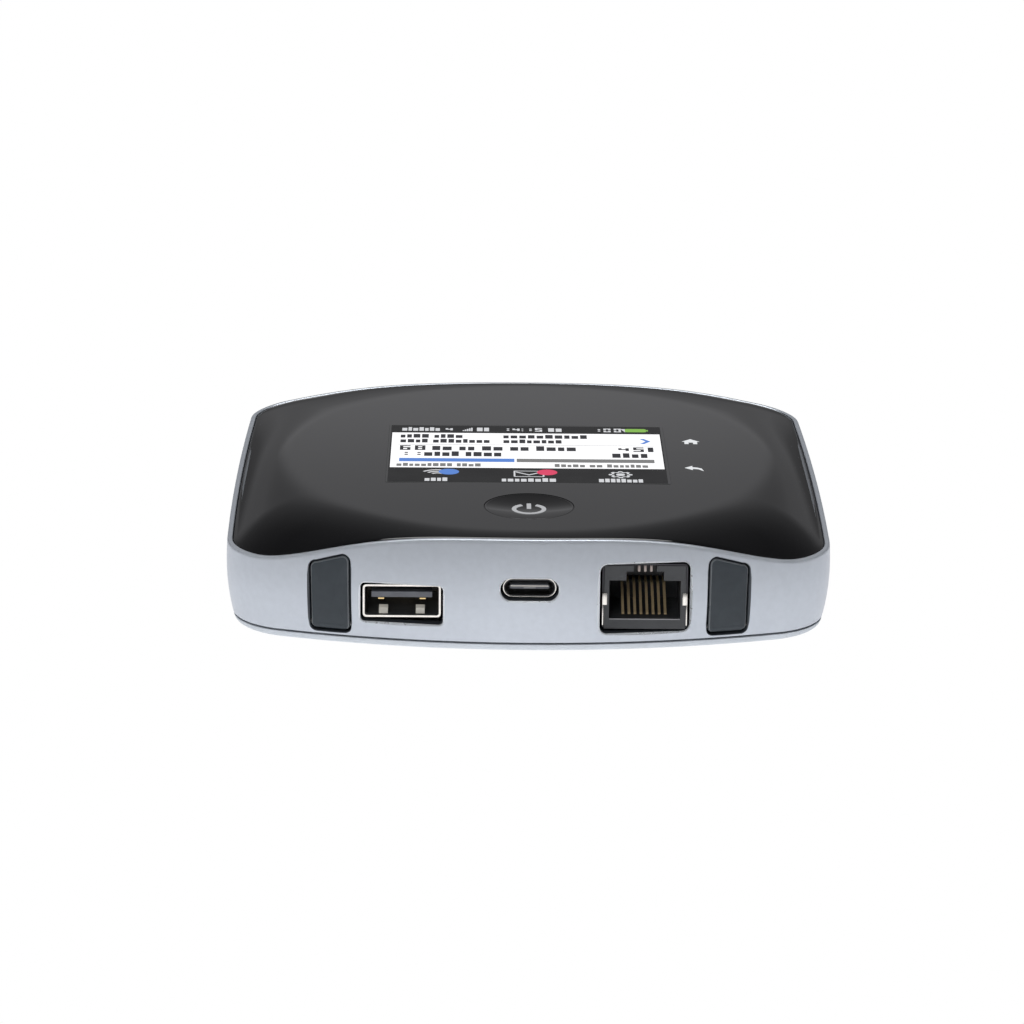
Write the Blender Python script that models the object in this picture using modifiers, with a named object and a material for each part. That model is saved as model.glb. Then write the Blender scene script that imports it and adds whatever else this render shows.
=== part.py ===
"""Mobile hotspot: a square pocket router with a touch display, wired ports and a removable battery.

The origin is the middle of the underside, +X is the right of the port side, +Y points away from
the ports and +Z is up. Sizes are in millimetres and become metres in the helpers.
"""
import math

import bmesh
import bpy
import numpy as np
from mathutils import Matrix, Vector

MM = 0.001

# Case outline, at its widest line
HALF_WIDTH = 52.2
HALF_DEPTH = 52.75
FRONT_RADIUS = 139.0
BACK_RADIUS = 175.0
SIDE_RADIUS = 1300.0
FRONT_CORNER_RADIUS = 13.0
BACK_CORNER_RADIUS = 9.5
OUTLINE_STEPS = {"front": 12, "corner": 7, "side": 4, "back": 8}

# Wall section
COVER_TOP = 1.45
BAND_BOTTOM = 1.75
WIDEST_Z = 10.5
LOWER_TUCK = 1.05
UPPER_TUCK = 0.7
TUCK_SPAN = 9.5
WALL_INNER = 2.6
LIP_WIDTH = 0.85
LIP_CHAMFER = 0.22
LEDGE_DEPTH = 1.5
BAND_ROWS = 6

# Arch of the top's edge, at the port end and at the far end
FRONT_LOW = 13.5
FRONT_RISE = 6.5
FRONT_SPREAD = 47.0
FRONT_POWER = 1.95
BACK_LOW = 15.7
BACK_RISE = 3.9
BACK_SPREAD = 60.0
BACK_POWER = 2.0

# Pillow of the top: slightly crowned, and rolling down to its edge over a margin
PLATEAU = 20.35
CROWN_DROP = 0.16
CROWN_RADIUS = 50.0
CROWN_POWER = 1.5
FLAT_HALF_WIDTH = 42.2
FLAT_HALF_DEPTH = 46.6
ROLL_POWER = 2.6
EDGE_SHARE_POWER = 0.54

# Top panel
PANEL_GAP = 0.12
PANEL_THICKNESS = 1.1
PANEL_TOP_RINGS = (0.40, 0.48, 0.56, 0.64, 0.72, 0.80, 0.87, 0.92, 0.96, 0.985)
PANEL_UNDER_RINGS = (0.985, 0.85, 0.70, 0.55, 0.40)
WINDOW_WIDTH = 49.9
WINDOW_DEPTH = 37.7
WINDOW_Y = -0.3
WINDOW_GAP = 0.1

# Power key
KEY_Y = -33.1
KEY_RADIUS = 7.7
KEY_HOLE_RADIUS = 7.8
KEY_HOLLOW = 0.6
KEY_SIDES = 40

# Ports, by the middle of each opening
USB_A_X = -21.45
USB_A_Z = 8.4
USB_A_RIM = -49.6
USB_C_Z = 11.4
USB_C_RIM = -51.2
RJ45_X = 19.4
RJ45_RIM = -50.3
RJ45_CONTACT_PITCH = 1.02

# Antenna doors and their hinges
DOOR_X = 33.7
DOOR_HALF_WIDTH = 3.48
DOOR_INNER = 1.6
DOOR_HINGE_Z = 3.75
DOOR_BARREL = 1.1
DOOR_TOP_NEAR = 16.0
DOOR_TOP_FAR = 14.7
DOOR_GAP = 0.28
DOOR_RECESS = 1.9
HINGE_PIN_RADIUS = 0.4
TS9_Z = 8.9

# Stack of the inside
COVER_FLOOR = 1.2
CHASSIS_Z = (10.5, 11.7)
PCB_Z = (12.0, 13.0)
CAN_Z = (13.3, 15.0)
SPREADER_Z = (15.3, 15.6)
TRAY_Z = (16.9, 18.2)
TOUCH_Z = (18.3, 18.42)
BATTERY_LOW = (-32.0, -22.0, 1.7)
BATTERY_HIGH = (32.0, 41.0, 10.1)
SCREW_SPOTS = ((-44.0, -30.0), (44.0, -30.0), (44.0, 38.0), (-44.0, 38.0))


# ---------------------------------------------------------------- scene and materials

for old in list(bpy.data.objects):
    bpy.data.objects.remove(old)

PARTS = bpy.data.collections.new("mobile_hotspot")
CUTTERS = bpy.data.collections.new("cutters")
for collection in (PARTS, CUTTERS):
    bpy.context.scene.collection.children.link(collection)


def finish_material(name, colour, roughness, metallic):
    material = bpy.data.materials.new(name)
    material.use_nodes = True
    shader = material.node_tree.nodes["Principled BSDF"]
    shader.inputs["Base Color"].default_value = (*colour, 1.0)
    shader.inputs["Roughness"].default_value = roughness
    shader.inputs["Metallic"].default_value = metallic
    return material


SILVER = finish_material("silver_paint", (0.50, 0.54, 0.60), 0.38, 0.6)
GLOSS = finish_material("gloss_black", (0.012, 0.012, 0.014), 0.08, 0.0)
GLASS = finish_material("display_glass", (0.30, 0.42, 0.50), 0.05, 0.0)
DOOR = finish_material("door_grey", (0.055, 0.062, 0.072), 0.5, 0.0)
BLACK = finish_material("black_plastic", (0.02, 0.02, 0.022), 0.45, 0.0)
GREY = finish_material("grey_plastic", (0.20, 0.20, 0.21), 0.5, 0.0)
CLEAR = finish_material("clear_plastic", (0.8, 0.8, 0.78), 0.2, 0.0)
STEEL = finish_material("steel", (0.62, 0.61, 0.58), 0.28, 1.0)
NICKEL = finish_material("nickel", (0.75, 0.72, 0.66), 0.22, 1.0)
GOLD = finish_material("gold", (0.90, 0.66, 0.28), 0.25, 1.0)
BOARD = finish_material("circuit_board", (0.02, 0.16, 0.07), 0.45, 0.0)
COPPER = finish_material("graphite_copper", (0.45, 0.25, 0.15), 0.4, 1.0)
POLYIMIDE = finish_material("flex_film", (0.55, 0.27, 0.06), 0.35, 0.0)
WRAP = finish_material("battery_wrap", (0.09, 0.10, 0.12), 0.4, 0.0)


# ---------------------------------------------------------------- modelling helpers

def scaled(x, y, z):
    return Vector((x, y, z)) * MM


def moved(x, y, z):
    return Matrix.Translation(scaled(x, y, z))


def add_object(name, mesh, material, place=None):
    """A part when it has a material, otherwise a hidden cutter."""
    item = bpy.data.objects.new(name, mesh)
    if place is not None:
        item.matrix_world = place
    if material is None:
        CUTTERS.objects.link(item)
        item.hide_render = True
        item.display_type = "WIRE"
    else:
        PARTS.objects.link(item)
        mesh.materials.append(material)
    return item


def mesh_from(shape, name):
    mesh = bpy.data.meshes.new(name)
    bmesh.ops.recalc_face_normals(shape, faces=shape.faces)
    shape.to_mesh(mesh)
    shape.free()
    return mesh


def smooth(item, angle=35.0):
    item.data.shade_smooth()
    item.data.set_sharp_from_angle(angle=math.radians(angle))
    return item


def box(name, low, high, material=None, bevel=0.0, turn=0.0):
    """A block between two corners, turned about its own vertical axis."""
    shape = bmesh.new()
    bmesh.ops.create_cube(shape, size=1.0)
    size = [(top - bottom) * MM for bottom, top in zip(low, high)]
    bmesh.ops.scale(shape, vec=size, verts=shape.verts)
    middle = scaled(*[(top + bottom) / 2 for bottom, top in zip(low, high)])
    place = Matrix.Translation(middle) @ Matrix.Rotation(turn, 4, "Z")
    item = add_object(name, mesh_from(shape, name), material, place)
    if bevel:
        round_edges(item, bevel)
    return item


def round_edges(item, width, segments=2):
    bevel = item.modifiers.new("rounding", "BEVEL")
    bevel.width = width * MM
    bevel.segments = segments
    bevel.limit_method = "ANGLE"
    bevel.harden_normals = False
    return item


def cylinder(name, radius, length, place, material=None, sides=24):
    """A round bar centred on the local Z axis of its place."""
    shape = bmesh.new()
    bmesh.ops.create_cone(shape, cap_ends=True, segments=sides, radius1=radius * MM,
                          radius2=radius * MM, depth=length * MM)
    item = add_object(name, mesh_from(shape, name), material, place)
    if material is not None:
        smooth(item)
    return item


def post(name, radius, x, y, bottom, top, material=None, sides=24):
    return cylinder(name, radius, top - bottom, moved(x, y, (top + bottom) / 2), material, sides)


def turned(name, profile, place, material, sides=24):
    """A turned piece: radius and height pairs run from its top down its outer side.

    A profile that ends where it began turns into a ring, any other starts and ends on the axis.
    """
    mesh = bpy.data.meshes.new(name)
    ring = profile[0] == profile[-1]
    corners = [(radius * MM, 0.0, height * MM) for radius, height in profile[:len(profile) - ring]]
    edges = [(index, index + 1) for index in range(len(corners) - 1)]
    if ring:
        edges.append((len(corners) - 1, 0))
    mesh.from_pydata(corners, edges, [])
    item = add_object(name, mesh, material, place)
    screw = item.modifiers.new("turning", "SCREW")
    screw.axis = "Z"
    screw.steps = sides
    screw.render_steps = sides
    screw.use_merge_vertices = True
    screw.merge_threshold = 0.00001
    screw.use_normal_calculate = False
    return item


def plate(name, outlines, thickness, place, material=None):
    """Flat outlines in the local XY plane, the later ones holes, given a thickness along Z."""
    curve = bpy.data.curves.new(name, "CURVE")
    curve.dimensions = "2D"
    curve.fill_mode = "BOTH"
    curve.extrude = thickness * MM / 2
    for outline in outlines:
        spline = curve.splines.new("POLY")
        spline.points.add(len(outline) - 1)
        for corner, (x, y) in zip(spline.points, outline):
            corner.co = (x * MM, y * MM, 0.0, 1.0)
        spline.use_cyclic_u = True
    source = bpy.data.objects.new(name + "_outline", curve)
    bpy.context.scene.collection.objects.link(source)
    graph = bpy.context.evaluated_depsgraph_get()
    mesh = bpy.data.meshes.new_from_object(source.evaluated_get(graph))
    bpy.data.objects.remove(source)
    shape = bmesh.new()
    shape.from_mesh(mesh)
    bpy.data.meshes.remove(mesh)
    bmesh.ops.remove_doubles(shape, verts=shape.verts, dist=0.000001)
    return add_object(name, mesh_from(shape, name), material, place)


def loft(name, rings, material=None, closed=False):
    """A skin through rings of equally many points, capped by fans or joined end to end."""
    shape = bmesh.new()
    rows = [[shape.verts.new(scaled(*point)) for point in ring] for ring in rings]
    pairs = list(zip(rows, rows[1:]))
    if closed:
        pairs.append((rows[-1], rows[0]))
    for lower, upper in pairs:
        for index in range(len(lower)):
            after = (index + 1) % len(lower)
            shape.faces.new((lower[index], lower[after], upper[after], upper[index]))
    if not closed:
        for row in (rows[0], rows[-1]):
            middle = sum((vertex.co for vertex in row), Vector()) / len(row)
            hub = shape.verts.new(middle)
            for index in range(len(row)):
                shape.faces.new((row[index], row[(index + 1) % len(row)], hub))
    return add_object(name, mesh_from(shape, name), material)


def combine(item, operation, *tools):
    for tool in tools:
        change = item.modifiers.new(tool.name, "BOOLEAN")
        change.operation = operation
        change.solver = "EXACT"
        change.object = tool
    return item


def cut(item, *tools):
    return combine(item, "DIFFERENCE", *tools)


def add(item, *tools):
    return combine(item, "UNION", *tools)


def rounded_rectangle(width, height, radius, steps=4, centre=(0.0, 0.0)):
    """Corners of a rectangle with rounded ends, counter-clockwise."""
    points = []
    for quarter in range(4):
        turn = math.pi / 2 * quarter
        side_x = 1 if quarter in (0, 3) else -1
        side_y = 1 if quarter in (0, 1) else -1
        corner_x = centre[0] + side_x * (width / 2 - radius)
        corner_y = centre[1] + side_y * (height / 2 - radius)
        for step in range(steps + 1):
            angle = turn + math.pi / 2 * step / steps
            points.append((corner_x + radius * math.cos(angle), corner_y + radius * math.sin(angle)))
    return points


def rectangle(low_x, high_x, low_y, high_y):
    return [(low_x, low_y), (high_x, low_y), (high_x, high_y), (low_x, high_y)]


def facing_front(x, y, z):
    """A place whose local X is +X, local Y is up and local Z points out of the port side."""
    return moved(x, y, z) @ Matrix.Rotation(math.pi / 2, 4, "X")


def port_bar(name, outline, x, z, front, back, material=None):
    """An outline in the XZ plane run from the front to the back."""
    place = facing_front(x, (front + back) / 2, z)
    return plate(name, [outline], back - front, place, material)


# ---------------------------------------------------------------- case geometry

def meeting_point(centre_a, reach_a, centre_b, reach_b, side):
    """One of the two points at the given distances from two centres."""
    gap = centre_b - centre_a
    along = (reach_a ** 2 - reach_b ** 2 + gap.length_squared) / (2 * gap.length)
    across = math.sqrt(reach_a ** 2 - along ** 2)
    unit = gap.normalized()
    return centre_a + unit * along + Vector((-unit.y, unit.x)) * across * side


def heading(start, end):
    return math.atan2(end.y - start.y, end.x - start.x)


def right_half_arcs():
    """Centre, radius, two angles and steps of each arc, from the front middle to the back."""
    front = Vector((0.0, FRONT_RADIUS - HALF_DEPTH))
    back = Vector((0.0, HALF_DEPTH - BACK_RADIUS))
    side = Vector((HALF_WIDTH - SIDE_RADIUS, 0.0))
    near_radius, far_radius = FRONT_CORNER_RADIUS, BACK_CORNER_RADIUS
    near = meeting_point(front, FRONT_RADIUS - near_radius, side, SIDE_RADIUS - near_radius, 1)
    far = meeting_point(back, BACK_RADIUS - far_radius, side, SIDE_RADIUS - far_radius, -1)
    turns = (heading(front, near), heading(side, near), heading(side, far), heading(back, far))
    steps = OUTLINE_STEPS
    return [
        (front, FRONT_RADIUS, -math.pi / 2, turns[0], steps["front"]),
        (near, near_radius, turns[0], turns[1], steps["corner"]),
        (side, SIDE_RADIUS, turns[1], turns[2], steps["side"]),
        (far, far_radius, turns[2], turns[3], steps["corner"]),
        (back, BACK_RADIUS, turns[3], math.pi / 2, steps["back"]),
    ]


RIGHT_ARCS = right_half_arcs()


def outline(inset):
    """Points around the case at an inset from its widest line, from the front middle."""
    right = []
    for centre, radius, start, end, steps in RIGHT_ARCS:
        for step in range(steps):
            angle = start + (end - start) * step / steps
            reach = radius - inset
            right.append((centre.x + reach * math.cos(angle), centre.y + reach * math.sin(angle)))
    left = [(-x, y) for x, y in reversed(right[1:])]
    return right + [(0.0, HALF_DEPTH - inset)] + left


def wall_inset(z):
    """How far the outside of the wall stands in from the widest line."""
    if z < WIDEST_Z:
        return LOWER_TUCK * ((WIDEST_Z - z) / (WIDEST_Z - BAND_BOTTOM)) ** 2
    return UPPER_TUCK * ((z - WIDEST_Z) / TUCK_SPAN) ** 2


def arch(x, low, rise, spread, power):
    reach = min(1.0, abs(x) / spread) ** power
    return low + rise * (1 + math.cos(math.pi * reach)) / 2


def edge_height(x, y):
    """Height of the top's edge above a point of the outline."""
    share = max(0.0, (y + HALF_DEPTH) / (2 * HALF_DEPTH)) ** EDGE_SHARE_POWER
    front = arch(x, FRONT_LOW, FRONT_RISE, FRONT_SPREAD, FRONT_POWER)
    back = arch(x, BACK_LOW, BACK_RISE, BACK_SPREAD, BACK_POWER)
    return front * (1 - share) + back * share


def edge_reaches():
    """Direction, distance and height of the top's edge, all the way round."""
    reaches = []
    for x, y in outline(UPPER_TUCK + LIP_WIDTH):
        reaches.append((math.atan2(y, x), math.hypot(x, y), edge_height(x, y)))
    reaches.sort()
    first, last = reaches[0], reaches[-1]
    turn = 2 * math.pi
    return [(last[0] - turn, *last[1:])] + reaches + [(first[0] + turn, *first[1:])]


EDGE_ANGLES, EDGE_RADII, EDGE_HEIGHTS = zip(*edge_reaches())


def top_height(x, y):
    """Height of the top: nearly flat inside an oval, rolling down from there to its edge."""
    angle = math.atan2(y, x)
    reach = float(np.interp(angle, EDGE_ANGLES, EDGE_RADII))
    edge = float(np.interp(angle, EDGE_ANGLES, EDGE_HEIGHTS))
    radius = math.hypot(x, y)
    flat = 1 / math.hypot(math.cos(angle) / FLAT_HALF_WIDTH, math.sin(angle) / FLAT_HALF_DEPTH)
    crown = PLATEAU - CROWN_DROP * (radius / CROWN_RADIUS) ** CROWN_POWER
    share = min(1.0, max(0.0, (radius - flat) / (reach - flat))) ** ROLL_POWER
    return crown * (1 - share) + edge * share


def rim_row(inset_of, height_of):
    """A row of points around the case; both functions take the height of the top edge."""
    row = []
    for index, (x, y) in enumerate(outline(UPPER_TUCK)):
        edge = edge_height(x, y)
        x, y = outline_point(index, inset_of(edge))
        row.append((x, y, height_of(edge)))
    return row


OUTLINES = {}


def outline_point(index, inset):
    key = round(inset, 6)
    if key not in OUTLINES:
        OUTLINES[key] = outline(inset)
    return OUTLINES[key][index]


def level_row(inset, z):
    return [(x, y, z) for x, y in outline(inset)]


# ---------------------------------------------------------------- case

def outer_wall_rows(first, drop):
    """Rows up the outside of the wall, from a level to a drop below the top edge."""
    rows = []
    for step in range(BAND_ROWS + 1):
        share = step / BAND_ROWS

        def height(edge, share=share):
            return first + (edge - drop - first) * share

        rows.append(rim_row(lambda edge: wall_inset(height(edge)), height))
    return rows


def make_envelope():
    """The outside of the case as one block, to trim pieces flush with the wall."""
    return loft("case_envelope", outer_wall_rows(BAND_BOTTOM, 0.0))


def door_frame(side):
    """A place on the widest line at a door: local X runs along the wall, local Z points out."""
    turn = math.asin(DOOR_X / FRONT_RADIUS) * side
    reach_y = FRONT_RADIUS - HALF_DEPTH - FRONT_RADIUS * math.cos(turn)
    spin = Matrix.Rotation(turn, 4, "Z")
    return moved(side * DOOR_X, reach_y, 0.0) @ spin @ Matrix.Rotation(math.pi / 2, 4, "X")


def hinge_inset():
    return wall_inset(DOOR_HINGE_Z) + DOOR_BARREL


def along_wall(side, inset, z):
    """A place whose local Z runs along the wall, on the hinge side of a door."""
    return door_frame(side) @ moved(0.0, z, -inset) @ Matrix.Rotation(math.pi / 2, 4, "Y")


def door_outline(side, grow, foot):
    """The door seen from outside: square at its foot, slanted and rounded at the top."""
    half = DOOR_HALF_WIDTH + grow
    near = DOOR_TOP_NEAR + grow
    far = DOOR_TOP_FAR + grow
    radius = 1.2
    points = [(-side * half, foot), (side * half, foot)]
    for step in range(5):
        angle = math.pi / 2 * step / 4
        points.append((side * (half - radius + radius * math.cos(angle)),
                       far - radius + radius * math.sin(angle)))
    for step in range(5):
        angle = math.pi / 2 * step / 4
        points.append((-side * (half - radius + radius * math.sin(angle)),
                       near - radius + radius * math.cos(angle)))
    return points


def cut_door_recess(frame, side, name):
    depth = DOOR_RECESS + 1.0
    foot = DOOR_HINGE_Z - DOOR_BARREL - 0.35
    recess = plate(name + "_recess", [door_outline(side, DOOR_GAP, foot)], depth,
                   door_frame(side) @ moved(0.0, 0.0, depth / 2 - DOOR_RECESS))
    width = 2 * (DOOR_HALF_WIDTH + DOOR_GAP)
    hinge_place = along_wall(side, hinge_inset(), DOOR_HINGE_Z)
    swing = cylinder(name + "_swing", DOOR_BARREL + 0.3, width + 0.1, hinge_place)
    pin_hole = cylinder(name + "_pin_hole", HINGE_PIN_RADIUS + 0.1, width + 2.2, hinge_place, sides=16)
    socket = cylinder(name + "_socket", 2.3, 6.0, door_frame(side) @ moved(0.0, TS9_Z, -3.0))
    cut(frame, recess, swing, pin_hole, socket)


def make_mid_frame():
    top = wall_inset
    rows = outer_wall_rows(BAND_BOTTOM, LIP_CHAMFER)
    rows.append(rim_row(lambda edge: top(edge) + LIP_CHAMFER, lambda edge: edge))
    rows.append(rim_row(lambda edge: top(edge) + LIP_WIDTH, lambda edge: edge))
    rows.append(rim_row(lambda edge: top(edge) + LIP_WIDTH, lambda edge: edge - LEDGE_DEPTH))
    rows.append(rim_row(lambda edge: WALL_INNER, lambda edge: edge - LEDGE_DEPTH))
    rows.append(level_row(WALL_INNER, BAND_BOTTOM))
    frame = loft("mid_frame", rows, SILVER, closed=True)
    ports = (
        ("usb_a_opening", rounded_rectangle(13.95, 6.48, 0.8), USB_A_X, USB_A_Z),
        ("usb_c_opening", rounded_rectangle(9.8, 3.85, 1.9, steps=6), 0.0, USB_C_Z),
        ("rj45_opening", rounded_rectangle(15.2, 12.05, 1.3), RJ45_X, 9.72),
    )
    for name, shape, x, z in ports:
        cut(frame, port_bar(name, shape, x, z, -56.0, -44.0))
    for side, name in ((-1, "left"), (1, "right")):
        cut_door_recess(frame, side, name)
    return smooth(frame)


def panel_ring(share, drop):
    """A ring of the panel, drawn in from its edge towards the middle."""
    ring = []
    for index, (x, y) in enumerate(outline(UPPER_TUCK)):
        edge_inset = wall_inset(edge_height(x, y)) + LIP_WIDTH + PANEL_GAP
        edge_x, edge_y = outline_point(index, edge_inset)
        x, y = edge_x * share, edge_y * share
        ring.append((x, y, top_height(x, y) - drop))
    return ring


def make_top_panel():
    rings = [panel_ring(share, 0.0) for share in PANEL_TOP_RINGS]
    rings.append(panel_ring(0.997, 0.12))
    rings.append(panel_ring(1.0, 0.35))
    rings.append(panel_ring(1.0, PANEL_THICKNESS))
    rings.extend(panel_ring(share, PANEL_THICKNESS) for share in PANEL_UNDER_RINGS)
    panel = loft("top_panel", rings, GLOSS)
    window = rounded_rectangle(WINDOW_WIDTH + 2 * WINDOW_GAP, WINDOW_DEPTH + 2 * WINDOW_GAP, 0.6, 2)
    cut(panel, plate("window_opening", [window], 8.0, moved(0.0, WINDOW_Y, PLATEAU)))
    cut(panel, loft("key_hole", [key_ring(KEY_HOLE_RADIUS, lambda x, y: z) for z in (14.0, 24.0)]))
    for number, (x, y) in enumerate(SCREW_SPOTS, 1):
        add(panel, post("panel_boss_%d" % number, 2.0, x, y, 12.0, top_height(x, y) - 0.5, sides=16))
    for number, (x, y) in enumerate(SCREW_SPOTS, 1):
        bore_top = top_height(x, y) - PANEL_THICKNESS - 0.1
        cut(panel, post("panel_bore_%d" % number, 0.95, x, y, 11.0, bore_top, sides=12))
    return smooth(panel)


def make_display_window():
    shape = rounded_rectangle(WINDOW_WIDTH, WINDOW_DEPTH, 0.5, 2)
    place = moved(0.0, WINDOW_Y, PLATEAU - PANEL_THICKNESS / 2)
    return plate("display_window", [shape], PANEL_THICKNESS, place, GLASS)


def make_battery_cover():
    rows = [
        level_row(3.0, 0.0),
        level_row(1.95, 0.28),
        level_row(1.35, 0.8),
        level_row(1.12, COVER_TOP),
        level_row(3.3, COVER_TOP),
        level_row(3.3, 3.0),
        level_row(4.5, 3.0),
        level_row(4.5, COVER_FLOOR),
    ]
    cover = loft("battery_cover", rows, SILVER)
    outer = HALF_WIDTH - 3.55
    inner = HALF_WIDTH - 4.4
    half = 4.0
    tabs = [
        ((-half, -outer), (half, -inner)),
        ((-half, inner), (half, outer)),
    ]
    for y in (-20.0, 20.0):
        tabs.append(((inner, y - half), (outer, y + half)))
        tabs.append(((-outer, y - half), (-inner, y + half)))
    for number, (low, high) in enumerate(tabs, 1):
        add(cover, box("cover_tab_%d" % number, (*low, 2.0), (*high, 4.6)))
    return smooth(cover)


# ---------------------------------------------------------------- doors

def make_door(side, name, envelope):
    """A flap that swings out and down about its pin; its barrel is the rounded lower edge."""
    depth = DOOR_INNER + 2.0
    door = plate("antenna_door_" + name, [door_outline(side, 0.0, DOOR_HINGE_Z)], depth,
                 door_frame(side) @ moved(0.0, 0.0, depth / 2 - DOOR_INNER), DOOR)
    combine(door, "INTERSECT", envelope)
    hinge_place = along_wall(side, hinge_inset(), DOOR_HINGE_Z)
    width = 2 * DOOR_HALF_WIDTH
    add(door, cylinder(name + "_barrel", DOOR_BARREL, width, hinge_place))
    cut(door, cylinder(name + "_barrel_bore", HINGE_PIN_RADIUS + 0.1, width + 1.0, hinge_place, sides=16))
    slope = math.atan2(DOOR_TOP_NEAR - DOOR_TOP_FAR, 2 * DOOR_HALF_WIDTH) * -side
    middle_top = (DOOR_TOP_NEAR + DOOR_TOP_FAR) / 2
    notch_place = door_frame(side) @ moved(0.0, middle_top + 0.1, 0.15) @ Matrix.Rotation(slope, 4, "Z")
    notch_place = notch_place @ Matrix.Rotation(math.pi / 2, 4, "Y")
    cut(door, cylinder(name + "_nail_notch", 0.8, 4.4, notch_place, sides=12))
    set_origin(door, hinge_place.translation)
    pin = cylinder("door_pin_" + name, HINGE_PIN_RADIUS, width + 1.8, hinge_place, STEEL, sides=16)
    return smooth(door), pin


def set_origin(item, spot):
    """Move an object's origin without moving its shape."""
    shift = item.matrix_world.inverted() @ spot
    item.data.transform(Matrix.Translation(-shift))
    item.matrix_world = item.matrix_world @ Matrix.Translation(shift)


def make_ts9_connector(side, name):
    profile = [
        (0.0, -2.9), (0.35, -2.9), (0.35, -5.6), (1.4, -5.6), (1.4, -2.1), (2.0, -2.1),
        (2.0, -5.5), (2.6, -5.5), (2.6, -8.2), (0.0, -8.2),
    ]
    place = door_frame(side) @ moved(0.0, TS9_Z, 0.0)
    return turned("ts9_connector_" + name, profile, place, GOLD)


# ---------------------------------------------------------------- power key

def key_ring(radius, height_of):
    ring = []
    for step in range(KEY_SIDES):
        angle = 2 * math.pi * (step + 0.5) / KEY_SIDES
        x = radius * math.cos(angle)
        y = KEY_Y + radius * math.sin(angle)
        ring.append((x, y, height_of(x, y)))
    return ring


def make_power_key():
    """A dished cap with a retaining flange, a pocket for the light guide and a post."""
    rings = []
    for radius in (1.8, 3.6, 5.3, 6.7, 7.5):
        sink = 0.05 + KEY_HOLLOW * (1 - (radius / KEY_RADIUS) ** 2)
        rings.append(key_ring(radius, lambda x, y: top_height(x, y) - sink))
    rings.append(key_ring(KEY_RADIUS, lambda x, y: top_height(x, y) - 0.2))
    flange_top = 18.8
    flange_bottom = 18.2
    roof = 18.9
    steps = (
        (KEY_RADIUS, flange_top), (8.6, flange_top), (8.6, flange_bottom), (5.0, flange_bottom),
        (5.0, roof), (1.2, roof), (1.2, 15.9),
    )
    for radius, z in steps:
        rings.append(key_ring(radius, lambda x, y: z))
    key = loft("power_key", rings, GLOSS)
    set_origin(key, scaled(0.0, KEY_Y, flange_top))
    return smooth(key)


def make_light_guide():
    place = moved(0.0, KEY_Y, 0.0)
    profile = [(1.5, 18.7), (4.7, 18.7), (4.7, 17.6), (1.5, 17.6), (1.5, 18.7)]
    return turned("icon_light_guide", profile, place, CLEAR)


def make_power_switch():
    body = box("tact_switch_body", (-2.6, KEY_Y - 2.6, 13.3), (2.6, KEY_Y + 2.6, 15.0), STEEL)
    cut(body, post("switch_bore", 1.15, 0.0, KEY_Y, 13.6, 16.0, sides=20))
    post("tact_switch_plunger", 0.9, 0.0, KEY_Y, 14.2, 15.6, BLACK, sides=20)
    box("power_led", (3.4, KEY_Y - 0.8, 13.3), (5.0, KEY_Y + 0.8, 14.0), CLEAR)


# ---------------------------------------------------------------- ports

def make_usb_a():
    x, z = USB_A_X, USB_A_Z
    back = USB_A_RIM + 13.4
    shell = port_bar("usb_a_shell", rounded_rectangle(13.12, 5.72, 0.6), x, z, USB_A_RIM, back, NICKEL)
    hollow = rounded_rectangle(12.5, 5.1, 0.35, steps=2)
    cut(shell, port_bar("usb_a_hollow", hollow, x, z, USB_A_RIM - 1.0, back - 0.3))
    block_front = back - 3.0
    block = box("usb_a_tongue", (x - 6.1, block_front, z - 2.4), (x + 6.1, back - 0.4, z + 2.4), BLACK)
    low, high = z + 0.15, z + 2.0
    add(block, box("usb_a_blade", (x - 5.1, USB_A_RIM + 0.9, low), (x + 5.1, block_front + 1.0, high)))
    for number, offset in enumerate((-3.5, -1.0, 1.0, 3.5), 1):
        front = USB_A_RIM + (1.4 if abs(offset) > 2 else 2.4)
        box("usb_a_contact_%d" % number, (x + offset - 0.5, front, low - 0.25),
            (x + offset + 0.5, block_front - 0.05, low - 0.05), GOLD)


def make_usb_c():
    z = USB_C_Z
    back = USB_C_RIM + 7.3
    outer = rounded_rectangle(8.94, 3.26, 1.62, steps=6)
    shell = port_bar("usb_c_shell", outer, 0.0, z, USB_C_RIM, back, NICKEL)
    hollow = rounded_rectangle(8.34, 2.62, 1.3, steps=6)
    cut(shell, port_bar("usb_c_hollow", hollow, 0.0, z, USB_C_RIM - 1.0, back - 0.3))
    plug = rounded_rectangle(8.24, 2.52, 1.25, steps=6)
    block = port_bar("usb_c_tongue", plug, 0.0, z, back - 1.6, back - 0.35, BLACK)
    blade = rounded_rectangle(6.7, 0.72, 0.3, steps=2)
    add(block, port_bar("usb_c_blade", blade, 0.0, z, USB_C_RIM + 0.6, back - 1.0))


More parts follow.
